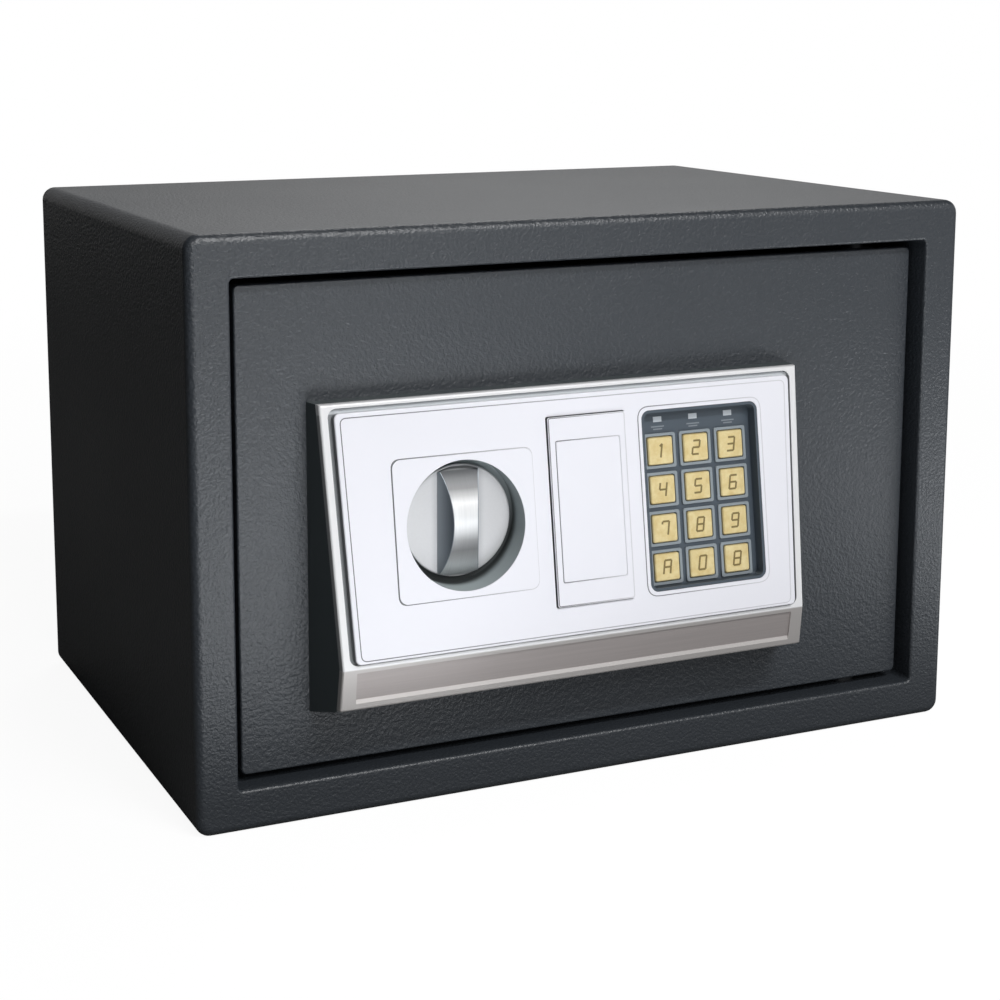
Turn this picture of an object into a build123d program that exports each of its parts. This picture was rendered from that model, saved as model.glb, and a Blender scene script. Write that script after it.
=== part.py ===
from build123d import *
import math
import os

# An electronic home safe. Millimetres, +Z up, front towards -Y.
# The origin is the centre of the cabinet's footprint, on the surface it stands on.

# Cabinet
cabinet_width = 300.0
cabinet_depth = 200.0
cabinet_height = 200.0
body_wall = 2.0
body_bend_r = 5.0
back_wall = 2.0
frame_wall = 2.5
frame_face = 14.5
frame_skirt = 8.0
front_edge_r = 3.0
jamb_depth = 28.0
jamb_corner_r = 1.6
jamb_edge_r = 1.0
anchor_hole_r = 5.0
base_anchor_spacing = 160.0
back_anchor_spacing = 160.0
mat_thickness = 2.0
mat_margin = 1.0
mat_hole_r = 8.0

# Door leaf
door_recess = 6.0
door_gap = 3.0
door_thickness = 4.0
door_corner_r = 2.0
door_edge_r = 0.7

# Fits
running_gap = 0.06
slide_gap = 0.1
face_gap = 0.2
seat_gap = 0.1

# Hinge
hinge_pin_r = 4.0
knuckle_wall = 2.0
knuckle_length = 18.0
pin_end_gap = 2.0
swing_clearance = 0.5
bracket_width = 22.0
bracket_depth = 14.0
bracket_height = 8.0

# Lock case on the back of the door
case_depth = 32.0
case_wall = 1.2
case_side_margin = 6.5
case_end_margin = 8.5
case_hinge_gap = 8.0
case_edge_r = 2.0
post_r = 4.0
post_inset = 11.0
case_screw_r = 1.9
case_screw_length = 8.0
case_head_r = 3.6
case_head_height = 2.2

# Boltwork
bolt_r = 6.0
bolt_axis_depth = 9.0
bolt_spacing = 80.0
bolt_stroke = 15.0
bolt_tip_inset = 2.0
bolt_length = 27.5
bolt_tip_chamfer = 1.5
bolt_stud_r = 3.0
bolt_rivet = 1.0
jamb_hole_gap = 0.6
bush_wall = 1.5
bush_flange = 1.0
bush_length = 5.0
bush_lip = 1.5
carriage_thickness = 2.5
carriage_depth = 16.0
carriage_end_margin = 10.0
web_below_knob = 27.0
web_top_below_knob = 1.5
web_right_margin = 8.0
guide_pin_r = 2.5
guide_shoulder_r = 4.5
guide_head = 1.5
guide_left_inset = 11.0
guide_right_offset = 21.5

# Knob drive
knob_turn_angle = 60.0
spindle_r = 4.0
spindle_bush_wall = 2.5
spindle_bush_flange = 2.5
spindle_bush_lip = 1.2
spindle_bush_tail = 1.0
cam_depth = 10.0
cam_thickness = 4.5
cam_hub_r = 8.0
cam_arm_width = 10.0
cam_pin_r = 3.0
cam_slot_gap = 0.25
clip_thickness = 0.8
clip_width = 2.5

# Control panel shell
panel_offset_x = -14.6
panel_below_door_top = 39.7
panel_top_rise = 8.0
panel_face_length = 87.4
panel_tilt = 8.64
panel_bevel_height = 14.6
panel_bevel_return = 2.0
panel_under_slope = 5.4
panel_half_width = 93.6
panel_draft = 11.2
bezel_thickness = 2.2
base_wall = 2.0
bezel_edge_r = 0.9
rim_width = 2.65
rim_top_width = 1.5
rim_bottom_width = 1.0
groove_width = 1.6
groove_depth = 1.2
rim_corner_r = 3.0
fascia_rise = 1.6
fascia_edge_r = 0.5
fascia_corner_r = 2.0
fascia_bottom_gap = 0.4
bevel_inset_side = 5.0
bevel_inset_top = 1.6
bevel_inset_bottom = 2.2
bevel_inset_depth = 0.6
bevel_inset_slope = 1.3
panel_screw_r = 1.9
panel_screw_head_r = 3.5
panel_screw_head = 2.2
panel_boss_r = 4.0
panel_screw_bite = 3.5
panel_screw_side = 78.0
panel_screw_top = 15.0
panel_screw_bottom = 93.0

# Knob and its well
knob_u = -42.9
knob_v = 44.1
knob_plate_width = 51.4
knob_plate_height = 48.0
knob_plate_corner_r = 3.0
knob_plate_rise = 0.4
knob_plate_thickness = 1.5
well_r = 21.8
well_wall = 1.5
well_floor = 1.5
knob_sink = 7.5
knob_disc_r = 19.6
knob_disc_thickness = 2.0
knob_edge_r = 0.6
grip_height = 7.0
grip_base_width = 15.3
grip_lean = 24.0
knob_hub_r = 7.0
knob_hub_length = 5.4
knob_back_gap = 0.5
hub_gap = 0.4

# Key-lock cover
cover_u = 4.2
cover_v = 43.2
cover_width = 30.0
cover_height = 65.1
cover_corner_r = 0.8
cover_rise = 1.0
cover_thickness = 2.3
cover_gap = 0.35
cover_line_width = 25.2
cover_line_height = 49.0
cover_line = 0.4
cover_line_depth = 0.3
cover_peg_r = 1.5
cover_peg_length = 1.6
cover_peg_spacing = 56.0

# Override key lock
barrel_r = 8.5
barrel_flange_r = 11.0
barrel_flange = 2.0
barrel_front_sink = 4.0
barrel_tail = 6.5
barrel_nut_r = 12.0
barrel_nut = 3.5
plug_r = 5.5
plug_tail = 1.5
keyway_width = 2.0
keyway_height = 8.0
keyway_depth = 14.0
eccentric_r = 6.0
eccentric_offset = 1.5
eccentric_thickness = 3.0
override_angle = 90.0

# Solenoid latch
plunger_from_lock = 14.0
plunger_r = 2.5
plunger_top = 38.0
latch_gap = 0.2
latch_notch_depth = 4.0
latch_notch_gap = 0.7
lifter_gap = 0.12
lifter_thickness = 1.5
lifter_overhang = 3.0
spring_length = 6.2
spring_wire_r = 0.35
spring_turns = 4
spring_gap = 0.6
solenoid_plate = 1.5
coil_r = 9.0
coil_length = 26.5
coil_clearance = 0.3
bobbin_flange = 1.5
solenoid_foot = 5.0
solenoid_foot_r = 3.0

# Keypad
keypad_u = 49.9
keypad_v = 43.15
keypad_width = 47.2
keypad_height = 63.5
keypad_corner_r = 3.0
tray_wall = 1.0
tray_depth = 4.4
tray_floor = 1.2
key_first_v = 26.1
key_pitch_u = 14.4
key_pitch_v = 13.7
key_width = 9.9
key_height = 9.7
key_corner_r = 0.8
key_crown = 0.35
key_proud = 0.5
key_window_gap = 0.25
key_flange = 0.8
key_flange_thickness = 0.55
key_stroke = 0.7
frame_width = 12.8
frame_height = 12.3
frame_line_u = 1.0
frame_line_v = 0.95
frame_rise = 0.8
lens_width = 3.4
lens_height = 1.9
lens_v = 15.0
lens_thickness = 2.4
dome_r = 3.4
dome_height = 0.6
mat_web = 0.8
board_thickness = 1.6
board_margin = 1.5
chip_side = 10.0
chip_thickness = 1.5
wire_plug_width = 10.0
wire_plug_height = 6.0
wire_plug_depth = 4.0
buzzer_r = 6.0
buzzer_depth = 4.0
plug_offset_u = -12.0
buzzer_offset_u = 10.0

# Batteries
cell_r = 7.1
cell_length = 49.2
cell_nub_r = 2.7
cell_nub = 1.3
cell_pitch = 15.2
cell_count = 4
tray_inset_x = 49.5
tray_z = 100.0
holder_wall = 1.5
holder_end_room = 4.0
holder_lip = 3.5
holder_lip_thickness = 2.0
holder_ledge = 0.7
contact_thickness = 0.5
contact_wire_r = 0.4
contact_turns = 3
battery_cover_thickness = 1.6
battery_cover_gap = 0.3
battery_cover_grip_r = 5.0

# Reset button
reset_inset_x = 10.0
reset_z = 46.0
reset_r = 3.0
reset_proud = 2.0
reset_travel = 1.2
reset_gap = 0.15
reset_body = 10.0
reset_body_depth = 9.0
reset_stem = 5.0

# Places worked out from the sizes above
front_y = -cabinet_depth / 2
back_y = cabinet_depth / 2
opening_half = cabinet_width / 2 - frame_face
opening_bottom = frame_face
opening_top = cabinet_height - frame_face
door_left = -opening_half + door_gap
door_right = opening_half - door_gap
door_bottom = opening_bottom + door_gap
door_top = opening_top - door_gap
door_mid_z = (door_bottom + door_top) / 2
door_front_y = front_y + door_recess
door_back_y = door_front_y + door_thickness

knuckle_r = hinge_pin_r + running_gap + knuckle_wall
hinge_depth = door_thickness + knuckle_r
swing_room = door_gap - swing_clearance
hinge_setback = (hinge_depth**2 - swing_room**2) / (2 * swing_room)
pin_x = door_right - hinge_setback
pin_y = door_front_y + hinge_depth

case_left = door_left + case_side_margin
case_right = pin_x - knuckle_r - case_hinge_gap
case_bottom = door_bottom + case_end_margin
case_top = door_top - case_end_margin
case_back_y = door_back_y + case_depth
case_inner_y = case_back_y - case_wall

panel_top_z = door_top - panel_below_door_top
panel_top_y = door_front_y - panel_top_rise
tilt_sin = math.sin(math.radians(panel_tilt))
tilt_cos = math.cos(math.radians(panel_tilt))
draft_rate = math.tan(math.radians(panel_draft))
panel_plane = Plane(
    origin=(panel_offset_x, panel_top_y, panel_top_z),
    x_dir=(1, 0, 0),
    z_dir=(0, -tilt_cos, tilt_sin),
)


def panel_point(u, v, h):
    """World place of a point u across, v down the sloping face and h out of it."""
    return panel_plane.from_local_coords(Vector(u, -v, h))


knob_face = panel_point(knob_u, knob_v, fascia_rise + knob_plate_rise)
knob_x = knob_face.X
knob_z = knob_face.Z
knob_flat_y = knob_face.Y + knob_sink
knob_back_y = knob_flat_y + knob_disc_thickness
well_floor_y = knob_back_y + knob_back_gap

lock_face = panel_point(cover_u, cover_v, 0)
lock_x = lock_face.X
lock_z = lock_face.Z
barrel_front_y = lock_face.Y + barrel_front_sink
barrel_back_y = door_back_y + barrel_tail
plug_back_y = barrel_back_y + plug_tail

bolt_y = door_back_y + bolt_axis_depth
bolt_heights = [door_mid_z - bolt_spacing / 2, door_mid_z + bolt_spacing / 2]
bolt_tip_x = door_left + bolt_tip_inset
flange_x = bolt_tip_x + bolt_length
web_y = door_back_y + carriage_depth
web_back_y = web_y + carriage_thickness
web_bottom = knob_z - web_below_knob
web_top = knob_z - web_top_below_knob
web_right = lock_x + web_right_margin
web_mid = (web_bottom + web_top) / 2
cam_reach = bolt_stroke / (2 * math.sin(math.radians(knob_turn_angle / 2)))
cam_front_y = door_back_y + cam_depth
cam_back_y = cam_front_y + cam_thickness
cam_pin_x = knob_x + cam_reach * math.sin(math.radians(knob_turn_angle / 2))
cam_pin_z = knob_z - cam_reach * math.cos(math.radians(knob_turn_angle / 2))
guide_xs = [flange_x + guide_left_inset, knob_x + guide_right_offset]
guide_z = web_mid

plunger_x = lock_x - plunger_from_lock
plunger_y = web_y + carriage_thickness / 2
plunger_bottom = web_top + latch_gap
eccentric_drop = eccentric_offset * math.sin(math.radians(override_angle / 2))
eccentric_side = eccentric_offset * math.cos(math.radians(override_angle / 2))
lifter_z = lock_z + eccentric_r - eccentric_drop + lifter_gap
lifter_top = lifter_z + lifter_thickness
solenoid_z = lifter_top + spring_length
solenoid_top = solenoid_z + solenoid_plate + coil_length

key_column_u = [keypad_u - 0.5 + (i - 1) * key_pitch_u for i in range(3)]
key_row_v = [key_first_v + i * key_pitch_v for i in range(4)]
key_names = ["1", "2", "3", "4", "5", "6", "7", "8", "9", "a", "0", "b"]
tray_floor_h = fascia_rise - tray_depth
tray_under_h = tray_floor_h - tray_floor
key_flange_h = tray_under_h - face_gap / 2
dome_top_h = key_flange_h - key_flange_thickness - key_stroke - face_gap / 2
mat_top_h = dome_top_h - dome_height
board_top_h = mat_top_h - mat_web
board_under_h = board_top_h - board_thickness

tray_x = case_right - tray_inset_x
holder_half_x = cell_count * cell_pitch / 2 + holder_wall
holder_half_z = cell_length / 2 + holder_end_room + holder_wall
cell_y = case_back_y - cell_r - face_gap
holder_floor_y = cell_y - cell_r - holder_wall
lid_y = case_back_y + holder_lip_thickness - battery_cover_thickness


def block(x0, x1, y0, y1, z0, z1):
    """A box given by its two corners."""
    middle = Pos((x0 + x1) / 2, (y0 + y1) / 2, (z0 + z1) / 2)
    return middle * Box(x1 - x0, y1 - y0, z1 - z0)


def rod_x(y, z, x0, x1, radius):
    """A round bar along X."""
    return Pos((x0 + x1) / 2, y, z) * Rot(0, 90, 0) * Cylinder(radius, x1 - x0)


def rod_y(x, z, y0, y1, radius):
    """A round bar along Y."""
    return Pos(x, (y0 + y1) / 2, z) * Rot(90, 0, 0) * Cylinder(radius, y1 - y0)


def rod_z(x, y, z0, z1, radius):
    """A round bar along Z."""
    return Pos(x, y, (z0 + z1) / 2) * Cylinder(radius, z1 - z0)


def rounded_y(x0, x1, y0, y1, z0, z1, radius):
    """A box whose four edges along Y are rounded."""
    outline = RectangleRounded(x1 - x0, z1 - z0, radius)
    place = Plane(origin=((x0 + x1) / 2, y0, (z0 + z1) / 2), x_dir=(1, 0, 0), z_dir=(0, 1, 0))
    return extrude(place * outline, amount=y1 - y0)


def panel_slab(u, v, width, height, h0, h1, radius):
    """A slab on the sloping face, centred at u, v and reaching from h0 to h1 out of it."""
    outline = RectangleRounded(width, height, radius) if radius else Rectangle(width, height)
    return extrude(panel_plane * Pos(u, -v, h0) * outline, amount=h1 - h0)


def group(pieces):
    """Separate solids kept in one node."""
    return Compound(children=[solid for piece in pieces for solid in piece.solids()])


# ---------------------------------------------------------------- cabinet


def make_body_wrap():
    """Top, bottom and sides: one sheet bent round, with the base anchor holes."""
    half = cabinet_width / 2
    y0 = front_y + frame_skirt
    shell = rounded_y(-half, half, y0, back_y, 0, cabinet_height, body_bend_r)
    inner = rounded_y(
        -half + body_wall, half - body_wall, y0, back_y,
        body_wall, cabinet_height - body_wall, body_bend_r - body_wall,
    )
    shell -= inner
    for x in (-base_anchor_spacing / 2, base_anchor_spacing / 2):
        shell -= rod_z(x, 0, -body_wall, 2 * body_wall, anchor_hole_r)
    return shell


def make_back_panel():
    """The back sheet, welded inside the wrap, with the wall anchor holes."""
    half = cabinet_width / 2 - body_wall
    top = cabinet_height - body_wall
    panel = rounded_y(
        -half, half, back_y - back_wall, back_y, body_wall, top, body_bend_r - body_wall
    )
    for x in (-back_anchor_spacing / 2, back_anchor_spacing / 2):
        panel -= rod_y(x, cabinet_height / 2, back_y - 2 * back_wall, back_y + back_wall, anchor_hole_r)
    return panel


def make_front_frame():
    """The pressed front: a face round the doorway, a skirt out to the wrap and a deep jamb."""
    half = cabinet_width / 2
    skirt = rounded_y(-half, half, front_y, front_y + frame_skirt, 0, cabinet_height, body_bend_r)
    front_edges = skirt.faces().sort_by(Axis.Y)[0].edges()
    skirt = fillet(front_edges, front_edge_r)
    skirt -= rounded_y(
        -half + body_wall, half - body_wall, front_y + frame_wall, front_y + frame_skirt,
        body_wall, cabinet_height - body_wall, body_bend_r - body_wall,
    )
    jamb = rounded_y(
        -opening_half - frame_wall, opening_half + frame_wall, front_y + frame_wall / 2,
        front_y + jamb_depth, opening_bottom - frame_wall, opening_top + frame_wall,
        jamb_corner_r + frame_wall,
    )
    frame = skirt + jamb
    doorway = rounded_y(
        -opening_half, opening_half, front_y - frame_wall, front_y + jamb_depth,
        opening_bottom, opening_top, jamb_corner_r,
    )
    frame -= doorway
    lip = [
        edge for edge in frame.edges().group_by(Axis.Y)[0]
        if abs(edge.center().X) <= opening_half + 0.1
        and opening_bottom - 0.1 <= edge.center().Z <= opening_top + 0.1
    ]
    frame = fillet(lip, jamb_edge_r)
    for z in bolt_heights:
        hole_r = bolt_r + jamb_hole_gap
        frame -= rod_x(bolt_y, z, -opening_half - 2 * frame_wall, -opening_half + frame_wall, hole_r)
    for z0 in (opening_bottom - 2 * frame_wall, opening_top - frame_wall):
        frame -= rod_z(pin_x, pin_y, z0, z0 + 3 * frame_wall, hinge_pin_r)
    return frame


def make_floor_mat():
    """Felt on the floor, cut back from the bends and open over the anchor holes."""
    half = cabinet_width / 2 - body_bend_r - mat_margin
    mat = block(
        -half, half, front_y + jamb_depth + mat_margin, back_y - back_wall - mat_margin,
        body_wall, body_wall + mat_thickness,
    )
    for x in (-base_anchor_spacing / 2, base_anchor_spacing / 2):
        mat -= rod_z(x, 0, 0, body_wall + 2 * mat_thickness, mat_hole_r)
    return mat


def make_hinge_brackets():
    """Blocks welded behind the jamb, above and below the door, that hold the pins."""
    brackets = []
    for z0 in (opening_top + frame_wall, opening_bottom - frame_wall - bracket_height):
        bracket = block(
            pin_x - bracket_width / 2, pin_x + bracket_width / 2,
            pin_y - bracket_depth / 2, pin_y + bracket_depth / 2, z0, z0 + bracket_height,
        )
        brackets.append(bracket - rod_z(pin_x, pin_y, z0, z0 + bracket_height, hinge_pin_r))
    return group(brackets)


def make_hinge_pins():
    """Two pivots, pressed into the brackets, that reach into the knuckles."""
    reach = frame_wall + bracket_height
    upper = rod_z(
        pin_x, pin_y, door_top - knuckle_length + pin_end_gap, opening_top + reach, hinge_pin_r
    )
    lower = rod_z(
        pin_x, pin_y, opening_bottom - reach, door_bottom + knuckle_length - pin_end_gap, hinge_pin_r
    )
    return group([upper, lower])


def make_hinge_washer():
    """The washer under the lower knuckle that takes the door's weight."""
    top = door_bottom - face_gap / 2
    ring = rod_z(pin_x, pin_y, opening_bottom, top, knuckle_r)
    return ring - rod_z(pin_x, pin_y, opening_bottom, top, hinge_pin_r)


# ---------------------------------------------------------------- door


def case_posts():
    """X and Z of the four posts that the lock case is screwed to."""
    xs = (case_left + post_inset, case_right - post_inset)
    zs = (case_bottom + post_inset, case_top - post_inset)
    return [(x, z) for x in xs for z in zs]


def panel_screw_places():
    """X and Z of the screws that hold the control panel from behind the door."""
    places = []
    for u in (-panel_screw_side, panel_screw_side):
        for v in (panel_screw_top, panel_screw_bottom):
            places.append((panel_offset_x + u, panel_top_z - v * tilt_cos))
    return places


def make_door_plate():
    """The steel leaf, with holes for the spindle, the key lock, the wiring and the screws."""
    plate = rounded_y(
        door_left, door_right, door_front_y, door_back_y, door_bottom, door_top, door_corner_r
    )
    plate = fillet(plate.faces().sort_by(Axis.Y)[0].edges(), door_edge_r)
    y0, y1 = door_front_y - 1, door_back_y + 1
    plate -= rod_y(knob_x, knob_z, y0, y1, spindle_r + running_gap + spindle_bush_wall)
    plate -= rod_y(lock_x, lock_z, y0, y1, barrel_r + seat_gap)
    for x, z in panel_screw_places():
        plate -= rod_y(x, z, y0, y1, panel_screw_r + seat_gap)
    plate -= rod_y(panel_offset_x + keypad_u, panel_top_z - keypad_v, y0, y1, 2 * post_r)
    return plate


def make_hinge_knuckles():
    """Bored blocks welded to the back of the leaf."""
    knuckles = []
    for z0 in (door_top - knuckle_length, door_bottom):
        z1 = z0 + knuckle_length
        knuckle = rod_z(pin_x, pin_y, z0, z1, knuckle_r)
        knuckle += block(pin_x - knuckle_r, pin_x + knuckle_r, door_back_y, pin_y, z0, z1)
        knuckles.append(knuckle - rod_z(pin_x, pin_y, z0, z1, hinge_pin_r + running_gap))
    return group(knuckles)


def make_lock_case():
    """The pan that covers the lockwork, with openings for bolts, batteries and reset button."""
    case = block(case_left, case_right, door_back_y, case_back_y, case_bottom, case_top)
    back = case.faces().sort_by(Axis.Y)[-1].edges()
    upright = case.edges().filter_by(Axis.Y)
    case = fillet(back + upright, case_edge_r)
    case -= block(
        case_left + case_wall, case_right - case_wall, door_back_y, case_inner_y,
        case_bottom + case_wall, case_top - case_wall,
    )
    for z in bolt_heights:
        bush_r = bolt_r + slide_gap + bush_wall
        case -= rod_x(bolt_y, z, case_left - case_wall, case_left + 2 * case_wall, bush_r)
    for x, z in case_posts():
        case -= rod_y(x, z, case_inner_y - case_wall, case_back_y + case_wall, case_screw_r)
    case -= block(
        tray_x - holder_half_x - seat_gap, tray_x + holder_half_x + seat_gap,
        case_inner_y - case_wall, case_back_y + case_wall,
        tray_z - holder_half_z - seat_gap, tray_z + holder_half_z + seat_gap,
    )
    reset_x = case_right - reset_inset_x
    case -= rod_y(reset_x, reset_z, case_inner_y - case_wall, case_back_y + case_wall, reset_r + reset_gap)
    return case


def make_case_posts():
    """Threaded posts between the leaf and the lock case."""
    posts = []
    for x, z in case_posts():
        post = rod_y(x, z, door_back_y, case_inner_y, post_r)
        posts.append(post - rod_y(x, z, case_back_y - case_screw_length, case_inner_y, case_screw_r))
    return group(posts)


def cross_screw(x, z, y_seat, shank_r, shank_length, head_r, head_height, direction):
    """A cross-head screw along Y whose head sits on y_seat and faces direction."""
    tip = y_seat - direction * shank_length
    top = y_seat + direction * head_height
    screw = rod_y(x, z, min(tip, y_seat), max(tip, y_seat), shank_r)
    head = rod_y(x, z, min(y_seat, top), max(y_seat, top), head_r)
    rim = head.edges().group_by(Axis.Y)[-1 if direction > 0 else 0]
    screw += fillet(rim, head_height / 3)
    slot = head_height / 2
    low, high = min(top, top - direction * slot), max(top, top - direction * slot)
    screw -= block(x - head_r / 2, x + head_r / 2, low, high, z - slot / 2, z + slot / 2)
    screw -= block(x - slot / 2, x + slot / 2, low, high, z - head_r / 2, z + head_r / 2)
    return screw


def make_case_screws():
    """Screws that hold the lock case to its posts."""
    shank = case_screw_length
    return group([
        cross_screw(x, z, case_back_y, case_screw_r, shank, case_head_r, case_head_height, 1)
        for x, z in case_posts()
    ])


def make_panel_screws():
    """Screws from behind the leaf into the control panel's bosses."""
    shank = door_thickness + panel_screw_bite
    return group([
        cross_screw(x, z, door_back_y, panel_screw_r, shank, panel_screw_head_r, panel_screw_head, 1)
        for x, z in panel_screw_places()
    ])


# ---------------------------------------------------------------- boltwork


def make_bolt_bushes():
    """Flanged plastic bushes in the lock case wall."""
    bushes = []
    outer = bolt_r + slide_gap + bush_wall
    wall_inner = case_left + case_wall
    for z in bolt_heights:
        bush = rod_x(bolt_y, z, case_left - bush_lip / 2, case_left - bush_lip / 2 + bush_length, outer)
        bush += rod_x(bolt_y, z, wall_inner, wall_inner + bush_lip, outer + bush_flange)
        bore = rod_x(bolt_y, z, case_left - bush_lip, case_left + bush_length, bolt_r + slide_gap)
        bushes.append(bush - bore)
    return group(bushes)


def make_bolt_carriage():
    """The sliding plate: a flange that carries the bolts and a web that the cam drives."""
    z0 = bolt_heights[0] - carriage_end_margin
    z1 = bolt_heights[1] + carriage_end_margin
    carriage = block(
        flange_x, flange_x + carriage_thickness, bolt_y - bolt_r, web_back_y, z0, z1
    )
    carriage += block(flange_x, web_right, web_y, web_back_y, web_bottom, web_top)
    for z in bolt_heights:
        carriage -= rod_x(bolt_y, z, flange_x, flange_x + carriage_thickness, bolt_stud_r)
    slot_half = cam_pin_r + cam_slot_gap
    low = knob_z - cam_reach - slot_half
    high = cam_pin_z + slot_half
    slot = rounded_y(
        cam_pin_x - slot_half, cam_pin_x + slot_half, web_y, web_back_y, low, high, slot_half * 0.99
    )
    carriage -= slot
    guide_half = guide_pin_r + cam_slot_gap
    for x in guide_xs:
        carriage -= rounded_y(
            x - guide_half, x + bolt_stroke + guide_half, web_y, web_back_y,
            guide_z - guide_pin_r - slide_gap, guide_z + guide_pin_r + slide_gap, guide_pin_r,
        )
    notch_x = plunger_x + bolt_stroke
    notch_half = plunger_r + latch_notch_gap
    carriage -= block(
        notch_x - notch_half, notch_x + notch_half, web_y, web_back_y,
        web_top - latch_notch_depth, web_top,
    )
    return carriage


def make_locking_bolts():
    """Two round bolts riveted to the carriage."""
    bolts = []
    for z in bolt_heights:
        bolt = rod_x(bolt_y, z, bolt_tip_x, flange_x, bolt_r)
        bolt = chamfer(bolt.edges().group_by(Axis.X)[0], bolt_tip_chamfer)
        stud_end = flange_x + carriage_thickness
        bolt += rod_x(bolt_y, z, flange_x, stud_end, bolt_stud_r)
        bolt += rod_x(bolt_y, z, stud_end, stud_end + bolt_rivet, bolt_stud_r + bolt_rivet)
        bolts.append(bolt)
    return group(bolts)


def make_guide_pins():
    """Shouldered pins on the leaf that the carriage slides along."""
    pins = []
    for x in guide_xs:
        pin = rod_y(x, guide_z, door_back_y, web_y - face_gap, guide_shoulder_r)
        pin += rod_y(x, guide_z, web_y - face_gap, web_back_y + face_gap, guide_pin_r)
        head_y = web_back_y + face_gap
        pin += rod_y(x, guide_z, head_y, head_y + guide_head, guide_shoulder_r)
        pins.append(pin)
    return group(pins)


def make_spindle_bush():
    """The flanged bush in the leaf that the spindle turns in."""
    body_r = spindle_r + running_gap + spindle_bush_wall
    bush = rod_y(knob_x, knob_z, door_front_y, door_back_y + spindle_bush_tail, body_r)
    lip_y = door_front_y - spindle_bush_lip
    bush += rod_y(knob_x, knob_z, lip_y, door_front_y, body_r + spindle_bush_flange)
    bore_end = door_back_y + 2 * spindle_bush_tail
    return bush - rod_y(knob_x, knob_z, lip_y, bore_end, spindle_r + running_gap)


def make_spindle():
    """The shaft from the knob to the cam."""
    return rod_y(knob_x, knob_z, knob_back_y, cam_back_y, spindle_r)


def make_spindle_clip():
    """The retaining ring behind the bush."""
    y0 = door_back_y + spindle_bush_tail + face_gap
    ring = rod_y(knob_x, knob_z, y0, y0 + clip_thickness, spindle_r + clip_width)
    ring -= rod_y(knob_x, knob_z, y0, y0 + clip_thickness, spindle_r)
    gap = clip_width
    return ring - block(
        knob_x - gap / 2, knob_x + gap / 2, y0, y0 + clip_thickness,
        knob_z - spindle_r - 2 * clip_width, knob_z - spindle_r / 2,
    )


def make_knob_cam():
    """The arm on the spindle whose pin drives the carriage."""
    cam = rod_y(knob_x, knob_z, cam_front_y, cam_back_y, cam_hub_r)
    arm = Box(cam_arm_width, cam_thickness, cam_reach)
    arm_place = Pos(knob_x, (cam_front_y + cam_back_y) / 2, knob_z)
    cam += arm_place * Rot(0, -knob_turn_angle / 2, 0) * Pos(0, 0, -cam_reach / 2) * arm
    cam += rod_y(cam_pin_x, cam_pin_z, cam_front_y, cam_back_y, cam_arm_width / 2)
    cam -= rod_y(knob_x, knob_z, cam_front_y, cam_back_y, spindle_r)
    return cam + rod_y(cam_pin_x, cam_pin_z, cam_back_y, web_back_y + face_gap, cam_pin_r)


# ---------------------------------------------------------------- knob


def make_knob():
    """A disc with an arched grip whose sides lean in, and a hub behind it."""
    disc = rod_y(knob_x, knob_z, knob_flat_y, knob_back_y, knob_disc_r)
    disc = fillet(disc.edges().group_by(Axis.Y)[0], knob_edge_r)
    half_chord = knob_disc_r - knob_edge_r
    arch_r = (half_chord**2 + grip_height**2) / (2 * grip_height)
    arch_y = knob_flat_y - grip_height + arch_r
    half = grip_base_width / 2
    arch = rod_x(arch_y, knob_z, knob_x - half, knob_x + half, arch_r)
    lean = grip_height * math.tan(math.radians(grip_lean))
    top_y = knob_flat_y - grip_height
    section = make_face(Polyline(
        (knob_x - half, knob_flat_y), (knob_x + half, knob_flat_y),
        (knob_x + half - lean, top_y), (knob_x - half + lean, top_y), close=True,
    ))
    bar = extrude(Pos(0, 0, knob_z) * section, amount=half_chord, both=True)
    within = rod_y(knob_x, knob_z, top_y, knob_flat_y, half_chord)
    knob = disc + (bar & arch & within)
    knob += rod_y(knob_x, knob_z, knob_back_y, knob_back_y + knob_hub_length, knob_hub_r)
    return knob - rod_y(knob_x, knob_z, knob_back_y, knob_back_y + knob_hub_length, spindle_r)


def make_knob_well():
    """The square plate on the face and the round cup that the knob sits in."""
    top_h = fascia_rise + knob_plate_rise
    plate = panel_slab(
        knob_u, knob_v, knob_plate_width, knob_plate_height,
        top_h - knob_plate_thickness, top_h, knob_plate_corner_r,
    )
    front = knob_face.Y - well_r
    cup = rod_y(knob_x, knob_z, front, well_floor_y + well_floor, well_r + well_wall)
    cup -= panel_slab(knob_u, knob_v, 4 * well_r, 4 * well_r, top_h, 3 * well_r, 0)
    well = plate + cup
    well -= rod_y(knob_x, knob_z, front, well_floor_y, well_r)
    return well - rod_y(knob_x, knob_z, front, door_front_y, knob_hub_r + hub_gap)


# ---------------------------------------------------------------- control panel


def meet(line_a, line_b):
    """Where two lines in the Y-Z plane cross, each a point and a direction."""
    (ay, az), (ady, adz) = line_a
    (by, bz), (bdy, bdz) = line_b
    share = ((by - ay) * bdz - (bz - az) * bdy) / (ady * bdz - adz * bdy)
    return (ay + share * ady, az + share * adz)


def shifted(point, direction, amount):
    """The line through a point, moved to its left by amount."""
    length = math.hypot(*direction)
    (y, z), (dy, dz) = point, direction
    return (y - dz / length * amount, z + dy / length * amount), direction


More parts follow.
